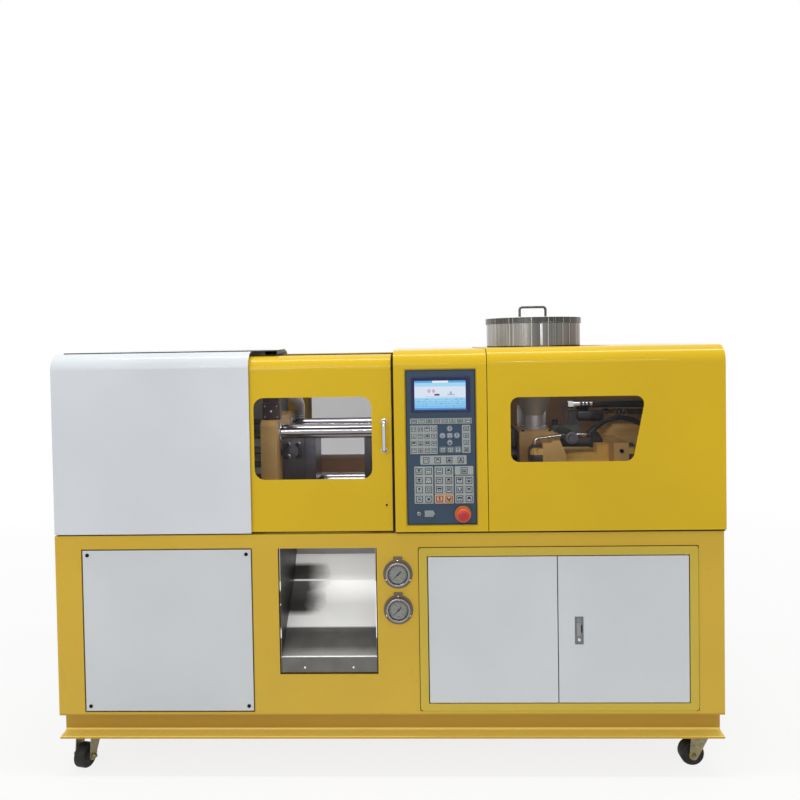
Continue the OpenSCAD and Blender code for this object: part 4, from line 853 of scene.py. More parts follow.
def digits(text, size, centre):
    """Numerals as a thin solid: the built-in font's outlines, made a mesh and centred."""
    curve = bpy.data.curves.new("numeral", "FONT")
    curve.body, curve.size, curve.extrude = text, size, 0.05
    curve.align_x, curve.align_y = "CENTER", "CENTER"
    holder = bpy.data.objects.new("numeral", curve)
    mesh = bpy.data.meshes.new_from_object(holder)
    mesh.calc_loop_triangles()
    points = np.empty(len(mesh.vertices) * 3)
    mesh.vertices.foreach_get("co", points)
    triangles = np.empty(len(mesh.loop_triangles) * 3, int)
    mesh.loop_triangles.foreach_get("vertices", triangles)
    bpy.data.objects.remove(holder)
    bpy.data.curves.remove(curve)
    bpy.data.meshes.remove(mesh)
    return Shape(points, [], triangles).outward().at((*centre, 0.05))


def needle():
    """A blade from a wide tail to a point: half width against distance, lifted to two heights."""
    reach = np.array([-13.0, -11.5, -4.0, 0.0, 4.0, 21.5])
    half = np.array([1.3, 2.3, 2.0, 2.3, 1.4, 0.25])
    outline = np.vstack([np.column_stack([reach, -half]), np.column_stack([reach, half])[::-1]])
    return skin([lifted(outline, z) for z in (0.0, 0.5)])


# %% [markdown]
# The scale runs clockwise from lower left to lower right, so its angles count down from 225 degrees
# over a sweep of 270. Every fifth mark is longer, and a number stands at each fifth of the way.

# %% The scale
mark_count, long_every = 50, 5
highest_number, number_step = 25, 5
zero_angle, sweep = 225.0, 270.0
scale_radius, number_radius = 23.8, 16.2
scale_marks = []
for i in range(mark_count + 1):
    inner, width = (21.2, 0.42) if i % long_every else (19.2, 0.9)
    scale_marks.append(tick(zero_angle - sweep * i / mark_count, inner, scale_radius, width))
scale_marks.append(scale_arc(scale_radius, 0.6, zero_angle - sweep, zero_angle))
scale_marks.append(scale_arc(12.0, 0.35, zero_angle - sweep, zero_angle))
for number in range(0, highest_number + 1, number_step):
    c, s = unit(zero_angle - sweep * number / highest_number)
    scale_marks.append(digits(str(number), 4.6, (number_radius * c, number_radius * s)))
scale_marks.append(skin([lifted(round_box(9, 1.1, 0.4), z) + (0, -17.5, 0) for z in (0, 0.1)]))
print("a scale with", mark_count + 1, "marks over", sweep, "degrees")

# %% [markdown]
# The ring, the seal under it and the glass are three profiles that meet at about the same radius.
# The glass gets a low Alpha and some Metallic, which leaves the dial clear but catches the lamps.

# %% Gauge profiles
DIAL_R, GLASS_R = 28.8, 28.9
rim = [(GLASS_R, 4.9), (GLASS_R, 7.6), (29.8, 9.2), (31.6, 10.0)]
rim += [(33.8, 9.6), (35.3, 8.2), (35.5, 6.4), (35.2, 4.9)]
seal = [(25.9, 4.9), (25.9, 5.6), (26.4, 6.0), (28.7, 6.0), (GLASS_R, 5.6), (GLASS_R, 4.9)]
dome = [(DIAL_R, 6.2), (DIAL_R, 7.2), (24, 7.9), (16, 8.5), (8, 8.8), (1, 8.9)]
hub = turned([(3.0, 0.0), (3.0, 1.2), (2.2, 1.8), (0.8, 2.0)], 20)
dial_height = 5.05
dial = [(DIAL_R, 4.9), (DIAL_R, dial_height), (14, dial_height), (0.5, dial_height)]
print("a gauge is", 2 * max(r for r, z in rim), "mm across its ring")

# %% Gauge finishes
dial_paint = coated("dial_paint", (0.225, 0.235, 0.215), 0.5, 0.12, 0.01, 0.00002)
print_black = coated("print_black", (0.02, 0.02, 0.022), 0.5, 0.3, 0.004, 0.00001)
ring_steel = metal("rolled_ring", (0.30, 0.28, 0.265), 0.17, 0.1, "X")
glass = Finish("gauge_glass")
glass.set("Base Color", glass.mix(glass.grain(0.01), (0.85, 0.87, 0.88), (0.9, 0.9, 0.92)))
glass.set("Roughness", 0.04 + glass.grain(0.02) * 0.05)
glass.set("Alpha", 0.02)
glass.set("Metallic", 0.5)
print("dial paint, print, ring and glass")

# %% Gauge pieces
gauge_x, gauge_front, gauge_heights = 36.0, -299.0, (599.0, 495.0)


def on_gauges(shape):
    """The same shape on both gauges."""
    return join([shape.at((gauge_x, gauge_front, z), "front") for z in gauge_heights])


def round_about(shape, radius, angles, height=0.0):
    """Copies of a shape at (r cos a, r sin a), for each of the angles in degrees."""
    return [shape.at((radius * unit(a)[0], radius * unit(a)[1], height)) for a in angles]


piece("gauge_dials", on_gauges(turned(dial, 48)), dial_paint, "machine")
scale = join(scale_marks).at((0, 0, dial_height))
piece("gauge_scales", on_gauges(scale), print_black, "machine")
pointer = join([needle().turn(zero_angle), hub]).at((0, 0, dial_height + 0.4))
piece("gauge_needles", on_gauges(pointer), print_black, "machine")
piece("gauge_seals", on_gauges(turned(seal, 60, ring_shaped=True)), print_black, "machine")
piece("gauge_rings", on_gauges(turned(rim, 72, ring_shaped=True)), ring_steel, "machine")
piece("gauge_glasses", on_gauges(turned(dome, 48)), glass, "machine")
flange_screws = join(round_about(rivet(2.5, 1.5), 38.5, (90, 207, 333)))
piece("gauge_screws", on_gauges(flange_screws), bright_screw, "machine")
print(len(gauge_heights), "gauges")

# %% [markdown]
# ## Control panel
# The panel is a slate foil with a lit screen in a navy frame, blocks of foil keys and a few molded
# parts at the bottom. Each key is a low cap whose two marks hold its number and the place on its
# top, so one finish can draw a thin border and a different small sign on every key.

# %% Key caps
panel_left, panel_bottom, panel_front = 66.0, 743.0, -305.0


def on_panel(shape, p, q, proud=0.0):
    """A shape that looks up, set on the control panel at p across and q up from its lower left corner."""
    return shape.at((panel_left + p, panel_front - proud, panel_bottom + q), "front")


def key_cap(width, height, radius, number):
    """Rounded rectangles that draw in towards a soft crown, with marks (number + u, v)."""
    cap = drawn_in(width, height, radius, [(0, -0.2), (0, 0.65), (0.35, 1.0), (1.1, 1.15), (2.8, 1.25)])
    place = np.clip(cap.points[:, :2] / (width, height) + 0.5, 0.02, 0.98)
    cap.marks = place + (number, 0)
    return cap


# Each block: its corner, its size, its columns and rows, the size of a key, and whether it has a pad.
KEY_BLOCKS = [
    ((12, 290), (176, 16), (8, 1), (18.5, 12), True),
    ((12, 204), (78, 82), (4, 4), (16.5, 14.5), True),
    ((160, 206), (24, 80), (1, 4), (17, 15), True),
    ((94, 206), (65, 18), (3, 1), (18.5, 16.5), False),
    ((40, 173), (132, 26), (4, 1), (20, 20), True),
    ((22, 61), (54, 107), (2, 4), (21.5, 21.5), True),
    ((80, 88), (54, 80), (2, 3), (21.5, 21.5), True),
    ((138, 61), (53, 79.6), (2, 3), (21.5, 21.5), True),
    ((138, 143.1), (53, 24.9), (1, 1), (21.5, 20.5), True),
]
START_BLOCK = ((80, 61), (54, 26), (2, 1), (22.5, 21.5), True)
pad_t = 0.5


def block_keys(block, first_number):
    """The key caps of one block: equal cells in columns and rows, a key in the middle of each."""
    (p, q), (width, height), (columns, rows), (key_w, key_h), padded = block
    across = p + (np.arange(columns) + 0.5) * width / columns
    up = q + (np.arange(rows) + 0.5) * height / rows
    caps = []
    for b in up:
        for a in across:
            cap = key_cap(key_w, key_h, 2.0, first_number + len(caps))
            caps.append(on_panel(cap, a, b, pad_t * padded))
    return caps


def block_pad(block):
    """The raised pad under a block."""
    (p, q), (width, height) = block[:2]
    pad = drawn_in(width, height, 2.0, [(0, -0.2), (0, 0.35), (0.2, pad_t), (1.0, pad_t)])
    return on_panel(pad, p + width / 2, q + height / 2)


keys = []
for block in KEY_BLOCKS:
    keys += block_keys(block, len(keys))
start_keys = block_keys(START_BLOCK, len(keys))

# The cross: each key's place from the middle one, and its size.
cross_middle = (125, 256)
arrows = [(0, 0, 15, 14), (20.5, 0, 17, 15), (-20.5, 0, 17, 15), (0, 20, 15, 16), (0, -20, 15, 16)]
cross_keys = []
for p, q, width, height in arrows:
    radius = 6.5 if p or q else 2.0
    cap = key_cap(width, height, radius, len(keys) + len(start_keys) + len(cross_keys))
    cross_keys.append(on_panel(cap, cross_middle[0] + p, cross_middle[1] + q))
print(len(keys) + len(start_keys) + len(cross_keys), "keys")

# %% [markdown]
# Drawing a sign for every key would take as many images. White noise does it with one formula:
# each key is divided into small cells, a random number decides which are dark, and the left half
# mirrors the right one, because a symmetric sign looks meant.

# %% Key finishes
def dots_on(finish, column, row, number=0.0):
    """Random greys from 0 to 1, one for each column and row of a key or screen."""
    cell = finish.node("ShaderNodeCombineXYZ", {}, {0: column.floor(), 1: row.floor(), 2: number})
    return finish.node("ShaderNodeTexWhiteNoise", {"noise_dimensions": "3D"}, {"Vector": cell})


def key_foil(name, colour, edge, sign):
    """A border where the distance from the middle lies in a thin band, and a mirrored sign inside."""
    foil = Finish(name)
    u, v = foil.marks("U"), foil.marks("V")
    along, up = u.fraction() - 0.5, v - 0.5
    away = along.size().maths("MAXIMUM", along.size(), up.size())
    dots = dots_on(foil, along.size() * 11.0, v * 11.0, u.floor())
    body = foil.mix(foil.grain(0.006, 3.0).step(0.3, 0.7), shade(colour, 0.92), colour)
    body = foil.mix(away.between(0.345, 0.462), body, edge)
    body = foil.mix((dots > 0.40) * (away < 0.275), body, sign)
    foil.set("Base Color", body)
    foil.set("Roughness", 0.45 + (foil.grain(0.01) - 0.5) * 0.1)
    foil.set("Specular IOR Level", 0.3)
    foil.bump(foil.grain(0.0006, 1.0), 0.00003)
    return foil


grey_foil = key_foil("grey_key_foil", (0.40, 0.43, 0.44), (0.022, 0.034, 0.050), (0.012, 0.018, 0.028))
arrow_foil = key_foil("arrow_key_foil", (0.44, 0.47, 0.52), (0.10, 0.12, 0.16), (0.04, 0.05, 0.08))
start_foil = key_foil("start_key_foil", (0.60, 0.34, 0.21), (0.11, 0.05, 0.03), (0.05, 0.02, 0.02))
pad_grey = coated("key_pad", (0.31, 0.335, 0.315), 0.5, 0.1, 0.01, 0.00003)
pad_orange = coated("start_pad", (0.56, 0.37, 0.24), 0.5, 0.1, 0.01, 0.00003)
key_piece = piece("panel_keys", join(keys), grey_foil, "machine")
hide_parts("control_keys")
piece("panel_arrow_keys", join(cross_keys), arrow_foil, "machine")
piece("panel_start_keys", join(start_keys), start_foil, "machine")
pads = [block_pad(block) for block in KEY_BLOCKS if block[-1]]
piece("panel_key_pads", join(pads), pad_grey, "machine")
piece("panel_start_pad", block_pad(START_BLOCK), pad_orange, "machine")
print("key foils: grey, arrow and start")

# %% [markdown]
# ## The lit screen
# The screen shows a plain status page: a blue head, a pale field with a small schematic, and a
# table below. It is drawn by comparing the two marks with edges, one area over another, and it
# glows a little, as a backlit screen does. Nothing on it is a word.

# %% What the screen shows
START, END = -1.0, 2.0
# Each area: from and to along U, from and to along V, and its colour.
BANDS = [
    ((START, END), (START, 0.055), (0.07, 0.30, 0.66)),
    ((START, END), (0.415, END), (0.71, 0.80, 0.92)),
    ((START, END), (0.80, END), (0.36, 0.70, 0.92)),
    ((START, 0.35), (0.93, END), (0.09, 0.38, 0.72)),
    ((0.66, END), (0.93, END), (0.09, 0.38, 0.72)),
    ((0.35, 0.66), (0.93, END), (0.80, 0.90, 0.97)),
]
SCHEMATIC = [
    ((0.39, 0.49), (0.485, 0.545), (0.03, 0.04, 0.12)),
    ((0.22, 0.84), (0.448, 0.460), (0.45, 0.48, 0.60)),
    ((0.64, 0.79), (0.50, 0.535), (0.40, 0.42, 0.52)),
    ((0.69, 0.73), (0.535, 0.62), (0.40, 0.42, 0.52)),
]
screen = Finish("lit_screen")
u, v = screen.marks("U"), screen.marks("V")


def areas(shown, rectangles):
    """Paints rectangles of flat colour over what is shown so far."""
    for across, up, colour in rectangles:
        shown = screen.mix(u.between(*across) * v.between(*up), shown, colour)
    return shown


in_row = (v * 13.0).fraction()
shown = screen.mix(v.step(0.0, 0.45), (0.16, 0.50, 0.86), (0.30, 0.66, 0.90))
shown = screen.mix((in_row < 0.16) * v.between(0.08, 0.40) * 0.55, shown, (0.62, 0.84, 0.97))
table_dots = (dots_on(screen, u * 46.0, v * 26.0) > 0.80) * v.between(0.10, 0.38) * (in_row > 0.3)
shown = areas(screen.mix(table_dots * 0.6, shown, (0.10, 0.30, 0.55)), BANDS)
for middle in (0.285, 0.375):
    dx, dy = (u - middle) * 2.03, v - 0.645
    distance = dx * dx + dy * dy
    shown = screen.mix(distance.between(0.0009, 0.0036) * 0.8, shown, (0.75, 0.16, 0.20))
    shown = screen.mix(distance < 0.0003, shown, (0.35, 0.02, 0.05))
shown = areas(shown, SCHEMATIC)
screen.set("Base Color", (0.02, 0.02, 0.03))
screen.set("Emission Color", shown)
screen.set("Emission Strength", 0.92)
screen.set("Roughness", 0.25 + screen.grain(0.03) * 0.1)
screen.set("Specular IOR Level", 0.15)
print("screen page with", len(BANDS) + len(SCHEMATIC), "areas")

# %% [markdown]
# The frame is one ring-shaped skin: three rounded rectangles follow the bezel outside and three the
# screen inside, so a border that is wider on one side needs no extra shape.

# %% Screen, its frame and the panel's edge
screen_low, screen_high = np.array([92.0, 1074.0]), np.array([238.0, 1156.5])
screen_size, screen_middle = screen_high - screen_low, (screen_low + screen_high) / 2
lit = drawn_in(*screen_size, 0.8, [(0, -0.2), (0, 0.15), (1, 0.2), (20, 0.2)])
lit.marks = lit.points[:, :2] / screen_size + 0.5
lit = lit.at((screen_middle[0], -307.0, screen_middle[1]), "front")
piece("display_screen", lit, screen, "machine")

# The frame is taller than its CAD node by its upper border.
upper_border = 12
display_low, display_high = corner_mm("display")
display_high = display_high + (0, 0, upper_border)
frame_size = (display_high - display_low)[[0, 2]]
frame_middle = ((display_high + display_low) / 2)[[0, 2]]
rings = []
for inset, height in ((0, -1.8), (0, 0.6), (0.8, 1.2)):
    rings.append(lifted(round_box(*(frame_size - 2 * inset), 3 - inset), height))
for outset, height in ((3.0, 1.2), (0.2, 0.1), (0.2, -1.8)):
    inner = round_box(*(screen_size + 2 * outset), 1 + outset) + (screen_middle - frame_middle)
    rings.append(lifted(inner, height))
navy_frame = skin(rings, ring_shaped=True).at((frame_middle[0], display_low[1], frame_middle[1]), "front")
piece("display_frame", navy_frame, navy, "machine")

# painted shade: a near-black edge round the foil stands in for the shadow gap round the panel
foil_edge = [(0, -0.5), (0, 0.5), (0.9, 0.9), (3.0, 0.9), (3.4, 0.1), (3.4, -0.5)]
foil_w, foil_h = 200, 445
foil_frame = drawn_in(foil_w, foil_h, 4, foil_edge, ring_shaped=True)
edge_shade_slate = coated("panel_edge_shade_slate", (0.012, 0.018, 0.028), 0.35, 0.1)
piece("panel_edge", on_panel(foil_frame, foil_w / 2, foil_h / 2, -0.3), edge_shade_slate, "machine")
print("screen", screen_size, "mm in a frame", frame_size, "mm")

# %% [markdown]
# ## Emergency stop, key lock and port flap
# The stop button is a mushroom turned from a profile: a stem, an undercut, a rolled edge and a
# shallow dome. It stands on a yellow ring. Beside it are a key lock and a pointed flap.

# %% The bottom row of the control panel
stop_place, lock_place, flap_place = (160, 30), (34, 32), (65, 32)
mushroom = [(10.8, -30.0), (10.8, 11.5), (18.2, 12.0), (19.6, 12.8), (20.0, 14.5)]
mushroom += [(19.9, 18.0), (19.2, 21.0), (17.4, 23.6), (14.4, 25.2)]
mushroom += [(12.6, 25.3), (11.6, 25.9), (7.0, 26.6), (1.0, 26.8)]
stop_red = Finish("stop_red")
# painted highlight: the dome's rim and sides are a lighter orange-red, the flat front a deeper red
painted_rim_light = stop_red.facing("Y").step(-0.97, -0.80)
ring_line = stop_red.grain(0.004, 3.0)
stop_red.set("Base Color", stop_red.mix(painted_rim_light, (0.36, 0.022, 0.030), (0.62, 0.085, 0.022)))
stop_red.set("Roughness", 0.30 + ring_line * 0.1)
stop_red.set("Specular IOR Level", 0.4)
stop_red.bump(ring_line, 0.00003)
mushroom_shape = on_panel(turned(mushroom, 56), *stop_place)
stop_button = piece("stop_button", mushroom_shape, stop_red, "emergency_stop")
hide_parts("emergency_stop")
ring_yellow = coated("stop_ring", (0.55, 0.17, 0.02), 0.4, 0.1, 0.01, 0.00003)
collar = [(11.6, -0.2), (23.4, -0.2), (23.4, 2.2), (22.4, 3.0), (12.4, 3.0), (11.6, 2.4)]
collar_shape = on_panel(turned(collar, 56, ring_shaped=True), *stop_place)
piece("stop_collar", collar_shape, ring_yellow, "machine")

lock = turned([(6.6, -0.2), (6.6, 1.6), (6.0, 2.6), (5.0, 3.0), (4.6, 2.2), (2.4, 2.2), (1.0, 2.2)], 36)
key_slit = drawn_in(1.8, 6.4, 0.6, [(0, 2.0), (0, 2.35)])
piece("key_lock", on_panel(lock, *lock_place), ring_steel, "machine")
piece("key_lock_slit", on_panel(key_slit.turn(30), *lock_place), black_steel, "machine")

flap_outline = np.array([[-15, -9], [9, -9], [15, 0], [9, 9], [-15, 9]], float)
flap_edge = [(1.0, -0.2), (1.0, 2.0), (0.93, 2.8), (0.7, 3.0)]
flap = skin([lifted(flap_outline * s, z) for s, z in flap_edge])
flap_grey = coated("port_flap_grey", (0.25, 0.275, 0.275), 0.5, 0.15, 0.004, 0.00005)
piece("port_flap", on_panel(flap, *flap_place), flap_grey, "machine")
print("stop button reaches y =", round(panel_front - mushroom[-1][1], 1), "mm")

# %% [markdown]
# ## Cabinet latch
# A flush swing latch: a shallow tray with a rolled lip, a long paddle, a round lock above it and a
# spring button below. All of it turns with the right door.

# %% Latch tray, paddle, lock and button
latch_low, latch_high = corner_mm("cabinet_latch")
latch_w, latch_h = (latch_high - latch_low)[[0, 2]]
latch_middle = ((latch_low + latch_high) / 2)[[0, 2]]


def on_latch(shape, p, q):
    """A shape that looks up, set on the latch at p across and q up from its middle."""
    return shape.at((latch_middle[0] + p, latch_low[1], latch_middle[1] + q), "front")


tray_wall = [(0.4, -9.0), (0, -1.2), (0, -0.5), (0.6, 0.0)]
tray_wall += [(1.8, 0.0), (2.4, -0.6), (2.5, -2.4), (6.0, -2.4)]
tray = drawn_in(latch_w, latch_h, 2.5, tray_wall)
paddle = drawn_in(12.5, 39, 2.0, [(0, -2.6), (0, -1.0), (0.6, -0.2), (2.2, 0.1), (4.5, 0.2)])
cylinder = turned([(5.6, -2.6), (5.6, -0.6), (4.9, 0.0), (3.9, 0.1), (3.6, -0.5), (0.6, -0.5)], 32)
lock_slit = drawn_in(1.1, 5.2, 0.4, [(0, -0.7), (0, -0.3)])
paddle_slit = drawn_in(3.4, 22, 1.2, [(0, -2.6), (0, -2.1)])
lock_up = 29.5
button = turned([(4.4, -2.6), (4.4, -0.9), (3.9, -0.2), (2.4, 0.2), (0.6, 0.3)], 28)
latch_grey = coated("latch_grey", (0.20, 0.205, 0.215), 0.35, 0.12, 0.01, 0.00005, metallic=0.4, shine=0.4)
latch_light = coated("latch_paddle", (0.27, 0.28, 0.29), 0.3, 0.1, 0.01, 0.00005, metallic=0.5, shine=0.4)
latch_tray = piece("latch_tray", on_latch(tray, 0, 0), latch_grey, "cabinet_door_right")
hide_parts("cabinet_latch")
piece("latch_paddle", on_latch(paddle, -1.5, 2), latch_light, "cabinet_door_right")
piece("latch_lock", on_latch(cylinder, 0, lock_up), latch_light, "cabinet_door_right")
slits = join([on_latch(lock_slit, 0, lock_up), on_latch(paddle_slit, 7.4, 4)])
piece("latch_slits", slits, black_steel, "cabinet_door_right")
piece("latch_button", on_latch(button, 0, -27.5), bright_screw, "cabinet_door_right")
print("latch", round(latch_w), "x", round(latch_h), "mm")

# %% [markdown]
# ## Hopper trim
# The drum is rolled from one sheet: its ends meet in a lapped seam, and the lid has a wired edge,
# which is a ring of round section. The lid's handle stands on two small pressed feet.

# %% Seam, wired edges and handle feet
lid_low, lid_high = corner_mm("hopper_lid")
drum_x, drum_y = (lid_low + lid_high)[:2] / 2
lid_r = (lid_high - lid_low)[0] / 2
rim_z, handle_half = lid_low[2] + 16, 42
seam_foot, seam_gap, lid_overlap = 1252, 2, 3


def wire_ring(radius, wire, count=96):
    """A ring of round section: the section's centre runs round a circle."""
    section = [(radius + wire * unit(a)[0], wire * unit(a)[1]) for a in range(0, 360, 36)]
    return turned(section, count, ring_shaped=True)


seam_height = lid_low[2] - seam_foot - seam_gap
lap = drawn_in(7, seam_height, 0.4, [(0, -0.8), (0, 0.4), (0.4, 0.7), (2.5, 0.8)])
drum_front = drum_y - (lid_r - lid_overlap)
seam = lap.at((drum_x + 4, drum_front - 0.1, seam_foot + seam_height / 2), "front")
piece("hopper_seam", seam, bright_steel, "injection_carriage")
wire_heights = (lid_low[2] + 1.4, rim_z + 0.3)
lid_wires = join([wire_ring(lid_r - 0.6, 1.5).at((drum_x, drum_y, z)) for z in wire_heights])
piece("hopper_lid_wires", lid_wires, lid_steel, "hopper_lid")
pressed_foot = [(10, -0.3), (10, 0.6), (8.8, 1.4), (6.4, 2.4), (4.6, 4.6), (4.1, 6.0)]
handle_x = (drum_x - handle_half, drum_x + handle_half)
lid_feet = join([turned(pressed_foot, 28).at((x, drum_y, rim_z + 2)) for x in handle_x])
piece("hopper_lid_feet", lid_feet, bright_steel, "hopper_lid")
handle_nuts = join([hex_nut(7, 3.2).at((x, drum_y, rim_z - 0.2), "down") for x in handle_x])
piece("hopper_lid_nuts", handle_nuts, bright_screw, "hopper_lid")
print("seam", round(seam_height), "mm high, lid radius", round(lid_r, 1))

# %% [markdown]
# ## Casters and the channel frame
# Each caster plate is held by four bolts, has a sealed ball race under it and carries a fork whose
# axle ends in nuts. The channel frame is rolled, so its inside corner is a fillet. Its paint is a much
# lighter copy of the frame's ochre, a painted highlight that draws a line of light all along the machine.

# %% Caster bolts, races and axle nuts
# Each caster: its swivel axis in X and Y, and the way its fork is turned at rest.
CASTERS = {
    "front_left": (-918, -216, 258), "front_right": (918, -216, 180),
    "rear_left": (-918, 244, 160), "rear_right": (918, 244, 75),
}
trail, fork_half, axle_z = 20, 31, 35
race_z, plate_z, bolt_reach = 105, 112, (31, 33)
axle_nut, plate_bolt = hex_nut(13, 5.0, 4.0), hex_nut(12, 5.5, 3.2)
plate_bolts, races = [], []
for corner, (x, y, angle) in CASTERS.items():
    front_nut = axle_nut.at((trail, -fork_half, axle_z), "front")
    nuts = join([front_nut, axle_nut.at((trail, fork_half, axle_z), "back")]).turn(angle)
    piece("caster_nuts_" + corner, nuts.at((x, y, 0)), zinc, "caster_fork_" + corner)
    races.append(wire_ring(25.4, 2.6, 48).at((x, y, race_z)))
    plate_bolts += [plate_bolt.at((*place, plate_z), "down") for place in corners_of((x, y), bolt_reach)]
piece("caster_races", join(races), zinc, "machine")
piece("caster_plate_bolts", join(plate_bolts), zinc, "machine")
print(len(races), "casters with", len(plate_bolts), "plate bolts")

# %% [markdown]
# The fillet is drawn as a section in Y and Z, a quarter circle and two corners that sink into the
# steel, and is carried along X. The back one is the same section mirrored about the middle line.

# %% Frame fillets
fillet_r = 5.5
web_y, middle_y, flange_z, frame_half = -258.0, 14.0, 123.3, 967.8
bend = np.radians(np.linspace(180, 270, 9))
hollow = fillet_r * np.stack([-np.cos(bend) - 1, np.sin(bend) + 1], axis=-1)
section = np.vstack([hollow, [(0.6, -1.5), (0.6, fillet_r)]])


def along_frame(mirrored):
    """The fillet's section, (Y, Z) from the corner between web and flange, carried along X."""
    y = web_y + section[:, 0]
    y = 2 * middle_y - y if mirrored else y
    stations = np.linspace(-frame_half, frame_half, 9)
    return skin([np.column_stack([np.full(len(y), x), y, flange_z + section[:, 1]]) for x in stations])


# painted highlight: a lighter, glossier copy of the channel's ochre
fillet_highlight_ochre = powder_coat("fillet_highlight_ochre", (0.90, 0.66, 0.16), 0.30, dust=0.04, worn=0.2, coat=0.9)
fillets = join([along_frame(mirrored=False), along_frame(mirrored=True)])
piece("frame_fillets", fillets, fillet_highlight_ochre, "machine")
print("two fillets of radius", fillet_r, "mm")

# %% [markdown]
# ## Behind the left window
# Between the platens hang a corrugated conduit for the wiring, the guide bushes round the tie bars,
# an eyebolt and two short coolant hoses on the moving mold half, and a small switch box on top of
# the moving platen.

# %% [markdown]
# The conduit is a circle swept along a smooth path, and its radius follows a cosine of the length
# run so far, so the ribs stay evenly spaced round every bend. The finish reads the same length from
# the piece's own marks and paints shade into the grooves.

# %% Wiring conduit
route_points = [(-366, -60, 1246), (-362, -50, 1190), (-346, -10, 1132), (-328, 60, 1096)]
route_points += [(-320, 130, 1074), (-322, 192, 1040), (-326, 201, 960), (-326, 201, 840), (-326, 201, 722)]
route = through(route_points, 700)
run = np.concatenate([[0], np.cumsum(np.linalg.norm(np.diff(route, axis=0), axis=1))])
conduit_r, rib_depth, rib_pitch, sides_round = 16.6, 2.0, 8.0, 18
conduit = swept(route, conduit_r + rib_depth * np.cos(run * 2 * np.pi / rib_pitch), sides_round)
conduit.marks[: len(run) * sides_round, 0] = np.repeat(run / rib_pitch, sides_round)
conduit_grey = coated("conduit_grey", (0.62, 0.61, 0.63), 0.38, shine=0.5)
# painted shade: the grooves between the ribs are darkened
groove_shade = conduit_grey.marks("U").fraction().between(0.28, 0.72)
conduit_grey.set("Base Color", conduit_grey.mix(groove_shade * 0.85, conduit_grey.body, (0.10, 0.095, 0.10)))
wiring_conduit = piece("wiring_conduit", conduit, conduit_grey, "machine", crisp=60)
gland = turned([(21, 0), (21, 9), (19, 12), (17, 12.5)], 24)
upper_gland, lower_gland = (-366, -60, 1247.5), (-326, 201, 716)
gland_pair = join([gland.at(upper_gland, "down"), gland.at(lower_gland)])
glands = piece("conduit_glands", gland_pair, black_steel, "machine")
route[0] / 1000
route[::7] / 1000
print("conduit", round(float(run[-1])), "mm long")

# %% [markdown]
# A bush is a flanged ring, turned from a profile that closes on itself, so its hole stays open for
# the bar. Four of them ride on the moving platen and four stay on the fixed one.

# %% Bushes round the tie bars
BARS = [(y, z) for y in (-86, 114) for z in (800, 990)]
bush = [(22.3, 0), (32, 0), (32, 4.2), (30.8, 5.5), (24, 5.5), (22.3, 4.0)]


def bushes(x, facing):
    """A flanged ring and four small screws round each tie bar, on the platen face at x."""
    screws = round_about(button_screw(2.6, 1.8), 27.5, (45, 135, 225, 315), 5.4)
    one = join([turned(bush, 40, ring_shaped=True)] + screws)
    return join([one.at((x, y, z), facing) for y, z in BARS])


piece("moving_platen_bushes", bushes(-339, "right"), bright_steel, "moving_platen")
piece("fixed_platen_bushes", bushes(-40, "left"), bright_steel, "machine")
print("bushes on", len(BARS), "bars")

# %% [markdown]
# The mold half is lifted by its eyebolt and cooled through barbed nipples. Each short hose is a
# swept circle from one nipple to the other. Both its ends ride on one body, so it never stretches.

# %% Eyebolt and coolant hoses of the moving mold half
eye_ring = wire_ring(10, 3.2, 40).at((0, 0, 17), "front")
eye_stem = turned([(7.5, -0.2), (7.5, 2.4), (4.4, 3.4), (4.0, 7.0)], 24)
eyebolt = join([eye_ring, eye_stem]).at((-303, 14, 966))
piece("mold_eyebolt", eyebolt, black_steel, "moving_platen")

barb = [(6.5, -0.3), (6.5, 6), (4.2, 7), (4.2, 15), (5.4, 16), (5.4, 24), (4.4, 25), (4.4, 28)]
nipple = turned(barb, 24)
column_x, upper_z, lower_z, mold_front = (-318, -286), 948, 908, -57
nipples = [nipple.at((x, mold_front, z), "front") for z in (upper_z, lower_z) for x in column_x]
piece("coolant_nipples", join(nipples), bright_steel, "moving_platen")


def coolant_loop(x, lean):
    """A short hose from the upper to the lower nipple at x, leaning sideways halfway."""
    upper = [(x, -80, upper_z), (x, -90, upper_z), (x + lean, -98, upper_z - 6)]
    lower = [(x + lean, -98, lower_z + 6), (x, -90, lower_z), (x, -80, lower_z)]
    path = through([*upper, (x + 1.4 * lean, -100, (upper_z + lower_z) / 2), *lower], 60)
    return swept(path, 5.4, 14, across=(1.0, 0.0, 0.0))


loops = [coolant_loop(x, lean) for x, lean in zip(column_x, (-8, 8))]
piece("coolant_hoses", join(loops), rubber, "moving_platen")
print(len(nipples), "coolant nipples and two hoses")

# %% [markdown]
# The switch box is a rounded rectangle drawn in at its lid, with a screw near each corner of its
# front and a small lamp between them.

# %% Switch box
switch_wall = [(0, -0.2), (0, 50), (0.6, 51.5), (2.2, 52), (2.2, 66), (3.2, 68), (8, 68.5)]
switch_body = drawn_in(54, 40, 4, switch_wall)
switch_brown = coated("switch_box", (0.060, 0.030, 0.024), 0.35, 0.2, 0.01, 0.00005)
switch_x, switch_front, switch_z = -358, -132, 1033
piece("switch_box", switch_body.at((switch_x, -112, switch_z)), switch_brown, "moving_platen")
on_switch = []
for x, z in corners_of((switch_x, switch_z + 25), (19, 17)):
    on_switch.append(rivet(2.4, 1.4).at((x, switch_front, z), "front"))
lamp = turned([(3.4, -0.2), (3.4, 1.2), (2.4, 2.6), (0.5, 3.1)], 20)
on_switch.append(lamp.at((switch_x, switch_front, switch_z + 26), "front"))
piece("switch_screws", join(on_switch), bright_screw, "moving_platen")
print("switch box with", len(on_switch) - 1, "screws and a lamp")

# %% [markdown]
# ## On the injection unit
# Hydraulic heads are held by cap screws, hose ends have crimped collars, the flow valve has a
# knurled knob and a hexagonal plug, and the solenoid has its square connector.

